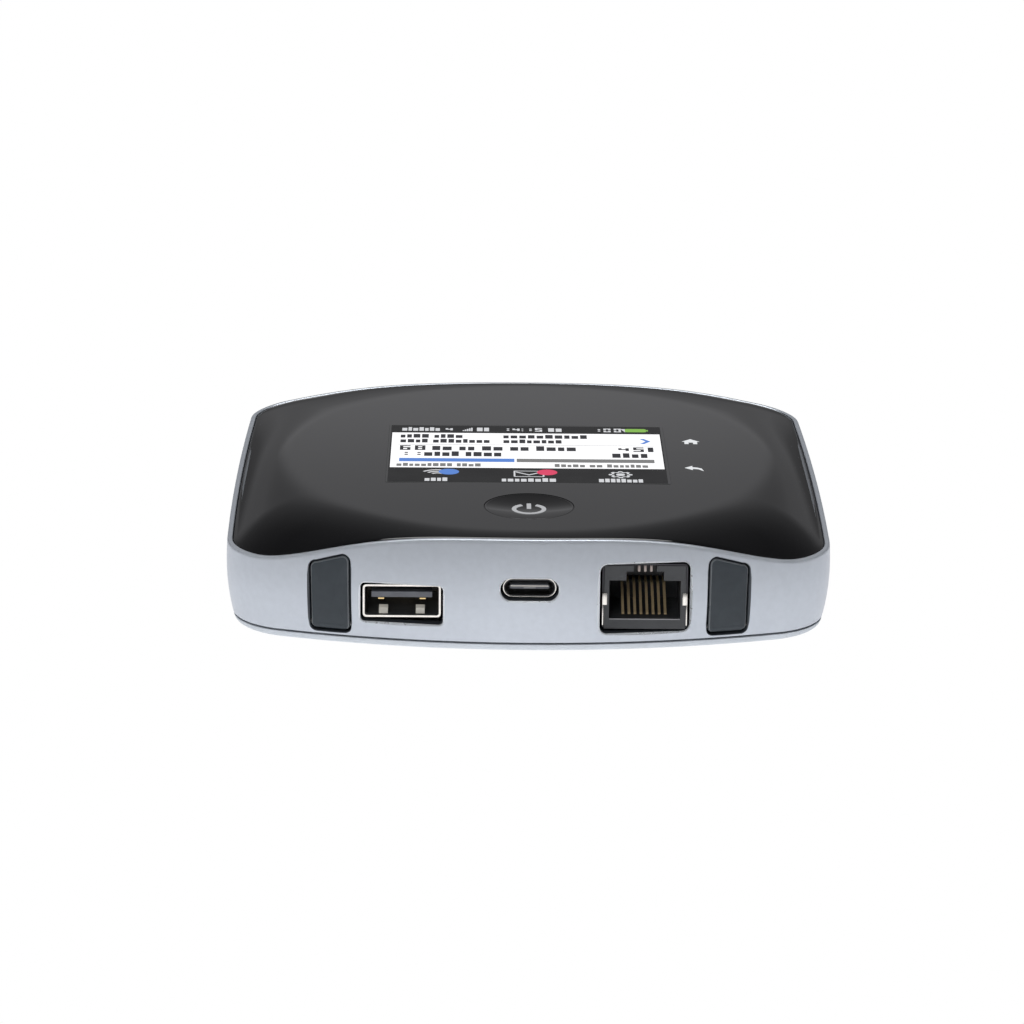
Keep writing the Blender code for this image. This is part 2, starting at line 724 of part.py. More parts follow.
def make_rj45():
    x = RJ45_X
    back = RJ45_RIM + 16.8
    housing = box("rj45_housing", (x - 6.85, RJ45_RIM, 4.0), (x + 6.85, back, 15.1), BLACK)
    cavity_back = RJ45_RIM + 12.0
    steps = (("plug", 6.0, 5.8, 12.5), ("latch", 3.15, 12.4, 14.1), ("notch", 1.95, 14.0, 16.0))
    for name, half, low, high in steps:
        cut(housing, box("rj45_" + name, (x - half, RJ45_RIM - 1.0, low), (x + half, cavity_back, high)))
    comb = box("rj45_comb", (x - 4.2, cavity_back - 1.0, 8.9), (x + 4.2, cavity_back + 2.0, 9.7))
    cut(housing, comb)
    shield_shape = rounded_rectangle(14.36, 11.45, 0.7)
    shield = port_bar("rj45_shield", shield_shape, x, 9.675, RJ45_RIM + 0.15, back + 0.35, STEEL)
    cut(shield, box("rj45_shield_inside", (x - 6.92, RJ45_RIM - 2.0, 2.0), (x + 6.92, back + 0.08, 15.17)))
    slope = [
        (0.0, 6.0), (0.35, 5.95), (7.5, 9.15), (11.6, 9.15), (11.6, 9.4), (7.4, 9.4), (0.2, 6.25),
    ]
    front = RJ45_RIM + 1.8
    for number in range(8):
        across = x + (number - 3.5) * RJ45_CONTACT_PITCH
        place = Matrix.Translation(scaled(across, front, 0.0)) @ Matrix(
            ((0, 0, 1, 0), (1, 0, 0, 0), (0, 1, 0, 0), (0, 0, 0, 1)))
        plate("rj45_contact_%d" % (number + 1), [slope], 0.45, place, GOLD)


# ---------------------------------------------------------------- inside

def make_chassis():
    """Plate across the case, with the battery bay and four screw posts below it."""
    low, high = CHASSIS_Z
    inset = WALL_INNER + 0.3
    chassis = loft("inner_chassis", [level_row(inset, low), level_row(inset, high)], GREY)
    cut(chassis, box("port_bay", (-39.0, -60.0, 9.0), (39.0, -31.0, 13.0)))
    bay = rectangle(-33.6, 33.6, -27.0, 42.6)
    hollow = rectangle(-32.6, 32.6, -26.0, 41.6)
    wall_low = 2.0
    wall_high = low + 0.3
    add(chassis, plate("battery_bay", [bay, hollow], wall_high - wall_low,
                       moved(0.0, 0.0, (wall_low + wall_high) / 2)))
    for number, (x, y) in enumerate(SCREW_SPOTS, 1):
        add(chassis, post("chassis_post_%d" % number, 2.4, x, y, 4.2, low + 0.3, sides=16))
    for number, (x, y) in enumerate(SCREW_SPOTS, 1):
        cut(chassis, post("chassis_bore_%d" % number, 1.0, x, y, 2.0, high + 1.0, sides=12))
    return chassis


def make_screws():
    for number, (x, y) in enumerate(SCREW_SPOTS, 1):
        tip = top_height(x, y) - PANEL_THICKNESS - 0.3
        profile = [
            (0.0, tip), (0.5, tip), (0.8, tip - 0.5), (0.8, 3.9), (1.7, 3.9), (1.7, 3.2),
            (1.3, 2.9), (0.6, 2.9), (0.6, 3.4), (0.0, 3.4),
        ]
        turned("case_screw_%d" % number, profile, moved(x, y, 0.0), STEEL, sides=16)


def make_board():
    low, high = PCB_Z
    outline_points = [
        (-38.0, -42.6), (11.7, -42.6), (11.7, -32.4), (27.1, -32.4), (27.1, -42.6), (38.0, -42.6),
        (38.0, 40.0), (-38.0, 40.0),
    ]
    plate("main_pcb", [outline_points], high - low, moved(0.0, 0.0, (low + high) / 2), BOARD)
    low, high = CAN_Z
    box("shield_can_modem", (-27.0, -8.0, low), (-3.0, 20.0, high), STEEL, bevel=0.3)
    box("shield_can_processor", (0.0, 0.0, low), (22.0, 22.0, high), STEEL, bevel=0.3)
    box("shield_can_wifi", (4.0, -16.0, low), (22.0, -3.0, high), STEEL, bevel=0.3)
    box("lan_transformer", (13.0, -29.0, low), (26.0, -21.0, 15.6), BLACK, bevel=0.3)
    low, high = SPREADER_Z
    box("heat_spreader", (-29.0, -15.0, low), (25.0, 24.0, high), COPPER)


def make_display():
    low, high = TRAY_Z
    tray_low = (-28.6, WINDOW_Y - 21.2)
    tray_high = (28.6, WINDOW_Y + 21.2)
    tray = box("lcd_tray", (*tray_low, low), (*tray_high, high), STEEL)
    wall = 0.3
    inside_low = (tray_low[0] + wall, tray_low[1] + wall, low + 0.2)
    inside_high = (tray_high[0] - wall, tray_high[1] - wall, high + 1.0)
    cut(tray, box("tray_inside", inside_low, inside_high))
    gap = 0.15
    box("lcd_panel", (inside_low[0] + gap, inside_low[1] + gap, low + 0.3),
        (inside_high[0] - gap, inside_high[1] - gap, high), BLACK)
    low, high = TOUCH_Z
    low_y, high_y = WINDOW_Y - 20.5, WINDOW_Y + 20.5
    shape = [
        (-27.0, low_y), (27.0, low_y), (27.0, -11.5), (31.0, -11.5), (31.0, 11.5), (27.0, 11.5),
        (27.0, high_y), (-27.0, high_y),
    ]
    plate("touch_sensor", [shape], high - low, moved(0.0, 0.0, (low + high) / 2), GLASS)
    loop = [
        (-28.9, 17.5), (-30.6, 17.5), (-31.4, 16.7), (-31.4, 14.2), (-30.6, 13.4), (-28.4, 13.4),
        (-28.4, 13.25), (-30.7, 13.25), (-31.55, 14.1), (-31.55, 16.8), (-30.7, 17.65), (-28.9, 17.65),
    ]
    place = facing_front(0.0, 6.0, 0.0)
    plate("lcd_flex", [loop], 16.0, place, POLYIMIDE)


def make_radio_pieces():
    for side, name in ((-1, "left"), (1, "right")):
        near, far = sorted((side * 40.5, side * 47.5))
        carrier = box("cellular_antenna_" + name, (near, -24.0, 12.0), (far, 32.0, 13.0), BLACK)
        round_edges(carrier, 0.3)
        near, far = sorted((side * 8.0, side * 32.0))
        carrier = box("wifi_antenna_" + name, (near, 41.5, 12.0), (far, 46.5, 14.4), BLACK)
        round_edges(carrier, 0.3)


def make_power_pieces():
    box("battery_pack", BATTERY_LOW, BATTERY_HIGH, WRAP, bevel=1.2)
    box("battery_contact_block", (-6.0, -25.6, 4.0), (6.0, -22.4, 10.2), BLACK, bevel=0.3)
    sim = box("sim_socket", (-47.4, 0.0, 8.4), (-34.2, 17.0, 10.2), STEEL)
    cut(sim, box("sim_slot", (-46.6, -1.0, 8.8), (-35.0, 16.0, 9.6)))
    card = box("microsd_socket", (34.4, 2.0, 8.4), (46.6, 17.0, 10.2), STEEL)
    cut(card, box("card_slot", (35.0, 1.0, 8.8), (46.0, 16.2, 9.6)))


def main():
    envelope = make_envelope()
    make_mid_frame()
    make_top_panel()
    make_display_window()
    make_battery_cover()
    for side, name in ((-1, "left"), (1, "right")):
        make_door(side, name, envelope)
        make_ts9_connector(side, name)
    make_power_key()
    make_light_guide()
    make_power_switch()
    make_usb_a()
    make_usb_c()
    make_rj45()
    make_chassis()
    make_screws()
    make_board()
    make_display()
    make_radio_pieces()
    make_power_pieces()


main()
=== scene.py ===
"""Looks of the mobile hotspot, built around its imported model.

The shape formulas repeat the model's own: lengths are in millimetres and become metres in the
mesh helpers. The top, the wall and the doors are remade from them with fine, rounded surfaces.
"""
import math
import random

import bmesh
import bpy
import numpy as np
from mathutils import Matrix, Vector


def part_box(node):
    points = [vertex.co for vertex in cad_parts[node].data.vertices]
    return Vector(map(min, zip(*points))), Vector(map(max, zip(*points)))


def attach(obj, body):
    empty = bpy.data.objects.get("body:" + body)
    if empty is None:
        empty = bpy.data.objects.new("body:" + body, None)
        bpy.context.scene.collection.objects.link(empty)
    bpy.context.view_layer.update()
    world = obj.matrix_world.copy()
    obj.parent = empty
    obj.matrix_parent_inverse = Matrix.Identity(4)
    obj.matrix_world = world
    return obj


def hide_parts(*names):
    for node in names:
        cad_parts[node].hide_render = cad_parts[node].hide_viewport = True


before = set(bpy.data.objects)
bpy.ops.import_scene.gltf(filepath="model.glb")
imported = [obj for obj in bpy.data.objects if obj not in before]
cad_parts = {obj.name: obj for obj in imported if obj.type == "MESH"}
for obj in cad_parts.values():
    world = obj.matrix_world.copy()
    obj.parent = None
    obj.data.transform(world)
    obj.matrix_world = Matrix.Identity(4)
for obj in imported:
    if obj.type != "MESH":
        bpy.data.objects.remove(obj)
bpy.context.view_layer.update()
MM = 0.001

# Case outline, at its widest line
HALF_WIDTH = 52.2
HALF_DEPTH = 52.75
FRONT_RADIUS = 139.0
BACK_RADIUS = 175.0
SIDE_RADIUS = 1300.0
FRONT_CORNER_RADIUS = 13.0
BACK_CORNER_RADIUS = 9.5
OUTLINE_STEPS = {"front": 72, "corner": 22, "side": 24, "back": 50}

# Wall section
COVER_TOP = 1.45
BAND_BOTTOM = 1.75
WIDEST_Z = 10.5
LOWER_TUCK = 1.05
UPPER_TUCK = 0.7
TUCK_SPAN = 9.5
WALL_INNER = 2.6
LIP_WIDTH = 0.85
LIP_CHAMFER = 0.22
LEDGE_DEPTH = 1.5
FOOT_ROUNDING = 0.12
BAND_ROWS = 30
PORT_CHAMFER = 0.22

# Arch of the top's edge at the port end and at the far end: low, rise, width and power
FRONT_ARCH = (13.5, 6.5, 47.0, 1.95)
BACK_ARCH = (15.7, 3.9, 60.0, 2.0)

# Pillow of the top: slightly crowned, and rolling down to its edge over a margin
PLATEAU = 20.35
CROWN_DROP = 0.16
CROWN_RADIUS = 50.0
CROWN_POWER = 1.5
FLAT_HALF_WIDTH = 42.2
FLAT_HALF_DEPTH = 46.6
ROLL_POWER = 2.6
EDGE_SHARE_POWER = 0.54

# Top panel
PANEL_GAP = 0.12
PANEL_THICKNESS = 1.1
WINDOW_SIZE = (49.9, 37.7)
HAIRLINE = 0.025
SCREEN_DEPTH = 0.05

# Display: its surface, and the step from one printed layer to the next
SCREEN_Z = PLATEAU - SCREEN_DEPTH
LAYER = 0.004

# Power key
KEY_RADIUS = 7.7
KEY_HOLLOW = 0.6
KEY_SINK = 0.03
KEY_SIDES = 96

# Antenna doors
DOOR_NAMES = ("left", "right")
DOOR_HALF_WIDTH = 3.34
DOOR_INNER = 1.6
DOOR_HINGE_Z = 3.75
DOOR_BARREL = 1.1
DOOR_TOP_NEAR = 16.0
DOOR_TOP_FAR = 14.7
DOOR_CORNER_RADIUS = 1.1
DOOR_FOOT_RADIUS = 0.95
DOOR_GAP = 0.28
DOOR_RECESS = 1.9
RECESS_FOOT_RADIUS = 1.15
SOCKET_RADIUS = 2.3
BORE_SIDES = 40

# Camera: place, and how far it is turned from a level look along +Y, in degrees
CAMERA_PLACE = (-9.37, -711.15, 222.16)
CAMERA_PAN = 0.546
CAMERA_TILT = 16.663
CAMERA_ROLL = 0.597
CAMERA_LENS = 145.3


def box_of(node):
    """A node's lowest and highest corners, in millimetres."""
    return [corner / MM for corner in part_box(node)]


def middle_of(node):
    """The middle of a node's box, in millimetres."""
    low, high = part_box(node)
    return (low + high) / 2 / MM


KEY_Y = middle_of("power_key").y
WINDOW_Y = middle_of("display_window").y


# ---------------------------------------------------------------- materials

def noise(tree, coords, scale, detail=2.0):
    """A cloudy pattern; the scale is in cells per metre."""
    node = tree.nodes.new("ShaderNodeTexNoise")
    node.inputs["Scale"].default_value = scale
    node.inputs["Detail"].default_value = detail
    tree.links.new(coords, node.inputs["Vector"])
    return node.outputs["Fac"]


def spread(tree, value, low, high):
    """A noise value, which keeps near its middle, stretched over a range."""
    node = tree.nodes.new("ShaderNodeMapRange")
    node.inputs["From Min"].default_value = 0.3
    node.inputs["From Max"].default_value = 0.7
    node.inputs["To Min"].default_value = low
    node.inputs["To Max"].default_value = high
    tree.links.new(value, node.inputs["Value"])
    return node.outputs["Result"]


def finish(name, colour, roughness, metallic=0.0, mottle=0.06, patch=150.0, grain=2500.0,
           depth=0.004, polish=0.04, **sockets):
    """A surface with patches of tone, uneven polish and a fine grain of a depth in millimetres."""
    material = bpy.data.materials.new(name)
    material.use_nodes = True
    tree = material.node_tree
    shader = tree.nodes["Principled BSDF"]
    shader.inputs["Metallic"].default_value = metallic
    for socket, value in sockets.items():
        shader.inputs[socket.replace("_", " ")].default_value = value
    coords = tree.nodes.new("ShaderNodeTexCoord").outputs["Object"]
    tone = tree.nodes.new("ShaderNodeMix")
    tone.data_type = "RGBA"
    tone.inputs["A"].default_value = (*[part * (1 - mottle) for part in colour], 1.0)
    tone.inputs["B"].default_value = (*[min(1.0, part * (1 + mottle)) for part in colour], 1.0)
    tree.links.new(spread(tree, noise(tree, coords, patch, 4.0), 0.0, 1.0), tone.inputs["Factor"])
    tree.links.new(tone.outputs["Result"], shader.inputs["Base Color"])
    smoothest = max(0.0, roughness - polish)
    sheen = spread(tree, noise(tree, coords, patch * 3), smoothest, roughness + polish)
    tree.links.new(sheen, shader.inputs["Roughness"])
    bump = tree.nodes.new("ShaderNodeBump")
    bump.inputs["Distance"].default_value = depth * MM
    tree.links.new(noise(tree, coords, grain, 3.0), bump.inputs["Height"])
    tree.links.new(bump.outputs["Normal"], shader.inputs["Normal"])
    return material


def glowing(name, colour, strength):
    """A lit part of the display, a little uneven as a backlight is, and dim by lamp light."""
    reflected = 0.15
    material = finish(name, [level * reflected for level in colour], 0.3, mottle=0.03, patch=90.0,
                      depth=0.0005, polish=0.02, Specular_IOR_Level=0.05)
    shader = material.node_tree.nodes["Principled BSDF"]
    shader.inputs["Emission Color"].default_value = (*colour, 1.0)
    shader.inputs["Emission Strength"].default_value = strength
    return material


SILVER = finish("satin_silver", (0.51, 0.545, 0.595), 0.38, 0.64, mottle=0.025, patch=900.0,
                grain=9000.0, depth=0.006)
# A lighter copy of the silver for the chamfer of the port mouths: a painted highlight.
MOUTH_HIGHLIGHT = finish("mouth_highlight", (0.80, 0.84, 0.88), 0.3, 0.6, mottle=0.03, depth=0.002)
UNDERSIDE = finish("moulded_silver", (0.49, 0.525, 0.565), 0.45, 0.35, mottle=0.04, patch=200.0,
                   grain=3500.0, depth=0.012)
SEAM_SHADOW = finish("seam_shadow", (0.012, 0.02, 0.04), 0.6, depth=0.01)
PORT_WALL = finish("port_wall", (0.045, 0.052, 0.062), 0.45, depth=0.01)
GLOSS = finish("gloss_black", (0.003, 0.003, 0.0035), 0.035, mottle=0.1, depth=0.0004, polish=0.01)
SCREEN_BLACK = finish("display_black", (0.006, 0.006, 0.007), 0.05, mottle=0.1, depth=0.0004,
                      polish=0.01)
SCREEN_DARK = finish("display_dark", (0.028, 0.028, 0.029), 0.3, mottle=0.05, patch=60.0,
                     depth=0.0005, Specular_IOR_Level=0.03)
# A lighter copy of the door slate for the rounding of the doors' edges: a painted highlight.
DOOR_EDGE_HIGHLIGHT = finish("door_edge_highlight", (0.11, 0.12, 0.13), 0.3, mottle=0.05, patch=300.0)
DOOR = finish("door_slate", (0.030, 0.037, 0.044), 0.5, mottle=0.08, patch=400.0, grain=5000.0,
              depth=0.02, Specular_IOR_Level=0.3)
BLACK = finish("black_plastic", (0.014, 0.014, 0.016), 0.38, mottle=0.1, patch=300.0, depth=0.012)
GREY = finish("grey_plastic", (0.20, 0.20, 0.21), 0.5, mottle=0.05, patch=100.0, depth=0.015)
TONGUE = finish("tongue_grey", (0.09, 0.095, 0.11), 0.4, mottle=0.08, patch=400.0, depth=0.01)
CLEAR = finish("light_guide", (0.8, 0.8, 0.78), 0.18, mottle=0.03, depth=0.002)
SHIELD = finish("shadowed_steel", (0.05, 0.05, 0.055), 0.4, 0.6, mottle=0.08, patch=250.0,
                depth=0.006)
# Dark socket plastic; the same colour also paints the shade inside the USB shells.
SOCKET_PLASTIC_AND_SHADE = finish("socket_plastic_and_shade", (0.034, 0.036, 0.039), 0.45, mottle=0.1, patch=300.0, depth=0.01)
TIN = finish("tin_plate", (0.78, 0.75, 0.68), 0.45, 0.4, patch=300.0)
STEEL = finish("stamped_steel", (0.62, 0.61, 0.58), 0.28, 1.0, mottle=0.08, patch=250.0,
               grain=1500.0, depth=0.01)
NICKEL = finish("nickel_plate", (0.84, 0.81, 0.75), 0.22, 1.0, patch=300.0)
GOLD = finish("gold_plate", (0.92, 0.68, 0.32), 0.24, 1.0, patch=300.0, depth=0.003)
DULL_WIRE = finish("dull_wire", (0.34, 0.29, 0.27), 0.5, 0.4, patch=300.0)
CONTACT = finish("contact_gold", (0.62, 0.48, 0.28), 0.5, 0.6, mottle=0.08, patch=300.0)
BOARD = finish("circuit_board", (0.02, 0.16, 0.07), 0.45, mottle=0.25, patch=350.0, grain=1200.0,
               depth=0.03)
COPPER = finish("graphite_copper", (0.45, 0.25, 0.15), 0.4, 1.0, mottle=0.12, depth=0.01)
FLEX = finish("flex_film", (0.55, 0.27, 0.06), 0.35, mottle=0.12)
WRAP = finish("battery_wrap", (0.09, 0.10, 0.12), 0.4, mottle=0.1, grain=1500.0, depth=0.02)
ICON = glowing("icon_white", (0.86, 0.88, 0.9), 0.8)
KEY_ICON = glowing("key_icon", (0.55, 0.56, 0.58), 0.7)
PAPER = glowing("screen_white", (0.96, 0.96, 0.97), 1.0)
INK = glowing("screen_ink", (0.03, 0.03, 0.035), 1.0)
BAR_GREY = glowing("screen_grey", (0.19, 0.19, 0.19), 0.95)
BLUE = glowing("screen_blue", (0.095, 0.22, 0.60), 0.95)
RED = glowing("screen_red", (0.66, 0.06, 0.13), 0.95)
GREEN = glowing("screen_green", (0.22, 0.45, 0.08), 0.95)
LABEL = glowing("screen_label", (0.62, 0.63, 0.65), 0.95)


# ---------------------------------------------------------------- mesh helpers

def piece_from(name, points, faces, material):
    """A mesh piece; points are in millimetres."""
    mesh = bpy.data.meshes.new(name)
    mesh.from_pydata([tuple(part * MM for part in point) for point in points], [], faces)
    shape = bmesh.new()
    shape.from_mesh(mesh)
    bmesh.ops.recalc_face_normals(shape, faces=shape.faces)
    shape.to_mesh(mesh)
    shape.free()
    item = bpy.data.objects.new(name, mesh)
    mesh.materials.append(material)
    bpy.context.scene.collection.objects.link(item)
    return item


def skin(name, rings, material, closed=False):
    """Quads through rings of equally many points, capped by fans or joined end to end."""
    count = len(rings[0])
    points = [tuple(point) for ring in rings for point in ring]
    last = len(rings) if closed else len(rings) - 1
    faces = []
    for row in range(last):
        above = (row + 1) % len(rings)
        for index in range(count):
            after = (index + 1) % count
            faces.append((row * count + index, row * count + after,
                          above * count + after, above * count + index))
    if not closed:
        for row, turn in ((0, -1), (len(rings) - 1, 1)):
            hub = len(points)
            points.append(tuple(np.mean(np.array(rings[row], float), axis=0)))
            for index in range(count):
                ends = (row * count + index, row * count + (index + 1) % count)
                faces.append((*ends[::turn], hub))
    return piece_from(name, points, faces, material)


def paint_rows(item, per_row, rows, material):
    """Another material for the quads between some of a skin's rings."""
    item.data.materials.append(material)
    for face in item.data.polygons:
        if face.index // per_row in rows:
            face.material_index = 1


def settle(item):
    """Applies the modifiers and smooths all but the sharp edges."""
    sharp = math.radians(32.0)
    graph = bpy.context.evaluated_depsgraph_get()
    mesh = bpy.data.meshes.new_from_object(item.evaluated_get(graph))
    item.modifiers.clear()
    item.data = mesh
    mesh.shade_smooth()
    mesh.set_sharp_from_angle(angle=sharp)
    return item


def carve(item, tools, operation="DIFFERENCE"):
    """Cuts or joins with tools that are then thrown away; cut faces take the tools' materials."""
    for tool in tools:
        change = item.modifiers.new(tool.name, "BOOLEAN")
        change.operation = operation
        change.solver = "EXACT"
        change.material_mode = "TRANSFER"
        change.object = tool
    settle(item)
    for tool in tools:
        bpy.data.objects.remove(tool)


def block(name, low, high, material, bevel):
    """A block between two corners, with rounded edges."""
    corners = [(x, y, z) for x in (low[0], high[0]) for y in (low[1], high[1])
               for z in (low[2], high[2])]
    faces = [(0, 1, 3, 2), (4, 6, 7, 5), (0, 4, 5, 1), (2, 3, 7, 6), (0, 2, 6, 4), (1, 5, 7, 3)]
    item = piece_from(name, corners, faces, material)
    rounding = item.modifiers.new("rounding", "BEVEL")
    rounding.width = bevel * MM
    rounding.segments = 3
    return settle(item)


def plates(name, shapes, low, high, material):
    """Flat outlines that don't cross, one inside another being a hole, between two heights."""
    curve = bpy.data.curves.new(name, "CURVE")
    curve.dimensions = "2D"
    curve.fill_mode = "BOTH"
    curve.extrude = (high - low) * MM / 2
    for shape in shapes:
        spline = curve.splines.new("POLY")
        spline.points.add(len(shape) - 1)
        for corner, (x, y) in zip(spline.points, shape):
            corner.co = (x * MM, y * MM, 0.0, 1.0)
        spline.use_cyclic_u = True
    source = bpy.data.objects.new(name, curve)
    bpy.context.scene.collection.objects.link(source)
    graph = bpy.context.evaluated_depsgraph_get()
    mesh = bpy.data.meshes.new_from_object(source.evaluated_get(graph))
    bpy.data.objects.remove(source)
    mesh.transform(Matrix.Translation((0.0, 0.0, (low + high) / 2 * MM)))
    mesh.materials.clear()
    mesh.materials.append(material)
    item = bpy.data.objects.new(name, mesh)
    bpy.context.scene.collection.objects.link(item)
    return item


def arc(radius, start, end, steps, centre=(0.0, 0.0)):
    """Points along an arc; angles are in degrees."""
    points = []
    for step in range(steps + 1):
        angle = math.radians(start + (end - start) * step / steps)
        points.append((centre[0] + radius * math.cos(angle), centre[1] + radius * math.sin(angle)))
    return points


def band_arc(inner, outer, start, end, centre, steps):
    """The outline of a bent bar between two radii."""
    return arc(outer, start, end, steps, centre) + arc(inner, end, start, steps, centre)


def rounded(width, height, radius, centre=(0.0, 0.0), steps=6):
    """A rectangle with rounded corners."""
    points = []
    for quarter, (side_x, side_y) in enumerate(((1, 1), (-1, 1), (-1, -1), (1, -1))):
        corner = (centre[0] + side_x * (width / 2 - radius),
                  centre[1] + side_y * (height / 2 - radius))
        points += arc(radius, 90 * quarter, 90 * quarter + 90, steps, corner)
    return points


def rectangle(low_x, low_y, high_x, high_y):
    return [(low_x, low_y), (high_x, low_y), (high_x, high_y), (low_x, high_y)]


def stand_for(piece, body, slot, *nodes):
    """Puts a piece on its body, in the place of CAD nodes; the slot is not used."""
    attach(piece, body)
    if nodes:
        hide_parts(*nodes)


# ---------------------------------------------------------------- case geometry

def meeting_point(centre_a, reach_a, centre_b, reach_b, side):
    """One of the two points at the given distances from two centres."""
    gap = centre_b - centre_a
    along = (reach_a ** 2 - reach_b ** 2 + gap.length_squared) / (2 * gap.length)
    across = math.sqrt(reach_a ** 2 - along ** 2)
    unit = gap.normalized()
    return centre_a + unit * along + Vector((-unit.y, unit.x)) * across * side


def heading(start, end):
    """The direction from one point to another, as an angle."""
    return math.atan2(end.y - start.y, end.x - start.x)


def outline_table():
    """Centre, radius and direction of each point around the case, from the front middle."""
    front = Vector((0.0, FRONT_RADIUS - HALF_DEPTH))
    back = Vector((0.0, HALF_DEPTH - BACK_RADIUS))
    side = Vector((HALF_WIDTH - SIDE_RADIUS, 0.0))
    near_radius, far_radius = FRONT_CORNER_RADIUS, BACK_CORNER_RADIUS
    near = meeting_point(front, FRONT_RADIUS - near_radius, side, SIDE_RADIUS - near_radius, 1)
    far = meeting_point(back, BACK_RADIUS - far_radius, side, SIDE_RADIUS - far_radius, -1)
    turns = (heading(front, near), heading(side, near), heading(side, far), heading(back, far))
    steps = OUTLINE_STEPS
    arcs = [
        (front, FRONT_RADIUS, -math.pi / 2, turns[0], steps["front"]),
        (near, near_radius, turns[0], turns[1], steps["corner"]),
        (side, SIDE_RADIUS, turns[1], turns[2], steps["side"]),
        (far, far_radius, turns[2], turns[3], steps["corner"]),
        (back, BACK_RADIUS, turns[3], math.pi / 2, steps["back"]),
    ]
    right = []
    for centre, radius, start, end, count in arcs:
        for step in range(count):
            angle = start + (end - start) * step / count
            right.append((centre.x, centre.y, radius, math.cos(angle), math.sin(angle)))
    middle = [(back.x, back.y, BACK_RADIUS, 0.0, 1.0)]
    left = [(-x, y, radius, -cos, sin) for x, y, radius, cos, sin in reversed(right[1:])]
    table = np.array(right + middle + left)
    return table[:, 0:2], table[:, 2], table[:, 3:5]


CENTRES, RADII, HEADINGS = outline_table()
FRONT_CENTRE = FRONT_RADIUS - HALF_DEPTH


def outline(inset):
    """Points around the case; the inset is a number or one for each point."""
    return CENTRES + (RADII - inset)[:, None] * HEADINGS


def wall_inset(z):
    """How far the outside of the wall stands in from the widest line."""
    low = LOWER_TUCK * ((WIDEST_Z - z) / (WIDEST_Z - BAND_BOTTOM)) ** 2
    high = UPPER_TUCK * ((z - WIDEST_Z) / TUCK_SPAN) ** 2
    return np.where(z < WIDEST_Z, low, high)


def arch(x, low, rise, width, power):
    """A height that rises from low, beyond the width, to a rounded top in the middle."""
    reach = np.minimum(1.0, np.abs(x) / width) ** power
    return low + rise * (1 + np.cos(math.pi * reach)) / 2


def edge_height(x, y):
    """Height of the top's edge above a point of the outline."""
    share = np.maximum(0.0, (y + HALF_DEPTH) / (2 * HALF_DEPTH)) ** EDGE_SHARE_POWER
    return arch(x, *FRONT_ARCH) * (1 - share) + arch(x, *BACK_ARCH) * share


def edge_table():
    """Angle, radius and height of the panel's edge around the case, in order of angle."""
    points = outline(UPPER_TUCK + LIP_WIDTH)
    angles = np.arctan2(points[:, 1], points[:, 0])
    order = np.argsort(angles)
    radii = np.hypot(points[:, 0], points[:, 1])
    heights = edge_height(points[:, 0], points[:, 1])
    return angles[order], radii[order], heights[order]


EDGE_ANGLES, EDGE_RADII, EDGE_HEIGHTS = edge_table()
EDGE = edge_height(*outline(UPPER_TUCK).T)


def top_height(x, y):
    """Height of the top: nearly flat inside an oval, rolling down from there to its edge."""
    angle = np.arctan2(y, x)
    reach = np.interp(angle, EDGE_ANGLES, EDGE_RADII, period=2 * math.pi)
    edge = np.interp(angle, EDGE_ANGLES, EDGE_HEIGHTS, period=2 * math.pi)
    radius = np.hypot(x, y)
    flat = 1 / np.hypot(np.cos(angle) / FLAT_HALF_WIDTH, np.sin(angle) / FLAT_HALF_DEPTH)
    crown = PLATEAU - CROWN_DROP * (radius / CROWN_RADIUS) ** CROWN_POWER
    share = np.clip((radius - flat) / (reach - flat), 0.0, 1.0) ** ROLL_POWER
    return crown * (1 - share) + edge * share


def ring_at(inset, height):
    """A ring of points around the case."""
    return np.column_stack((outline(inset), np.broadcast_to(height, len(RADII))))


def front_wall(x, z, depth=0.0):
    """The y of the port side's face, or of a surface that lies a depth inside it."""
    return FRONT_CENTRE - math.sqrt((FRONT_RADIUS - float(wall_inset(z)) - depth) ** 2 - x ** 2)


def grown(shape, amount):
    """A convex outline moved outwards."""
    points = np.array(shape)
    before = points - np.roll(points, 1, axis=0)
    after = np.roll(points, -1, axis=0) - points
    normals = []
    for one, two in zip(before, after):
        total = Vector((0.0, 0.0))
        for edge in (one, two):
            total += Vector((edge[1], -edge[0])).normalized()
        normals.append(total.normalized() if total.length > 0.001 else Vector((0.0, 0.0)))
    return [(x + normal.x * amount, y + normal.y * amount)
            for (x, y), normal in zip(points, normals)]


# ---------------------------------------------------------------- band

def port_cutter(name, shape, x, z):
    """A straight bore with a flared mouth that follows the curve of the wall; its chamfer carries a
    painted highlight.
    """
    inner_end, outer_end = -44.0, -57.0
    throat = [(x + across, inner_end, z + up) for across, up in shape]
    mouth = []
    for amount, depth in ((0.0, PORT_CHAMFER), (PORT_CHAMFER * 2, -PORT_CHAMFER)):
        mouth.append([(x + across, front_wall(x + across, z + up, depth), z + up)
                      for across, up in grown(shape, amount)])
    outside = [(across, outer_end, up) for across, _, up in mouth[-1]]
    cutter = skin(name, [throat, *mouth, outside], PORT_WALL)
    # the chamfer ring round the mouth takes the lighter silver: a painted highlight
    paint_rows(cutter, len(shape), range(1, 2), MOUTH_HIGHLIGHT)
    return cutter


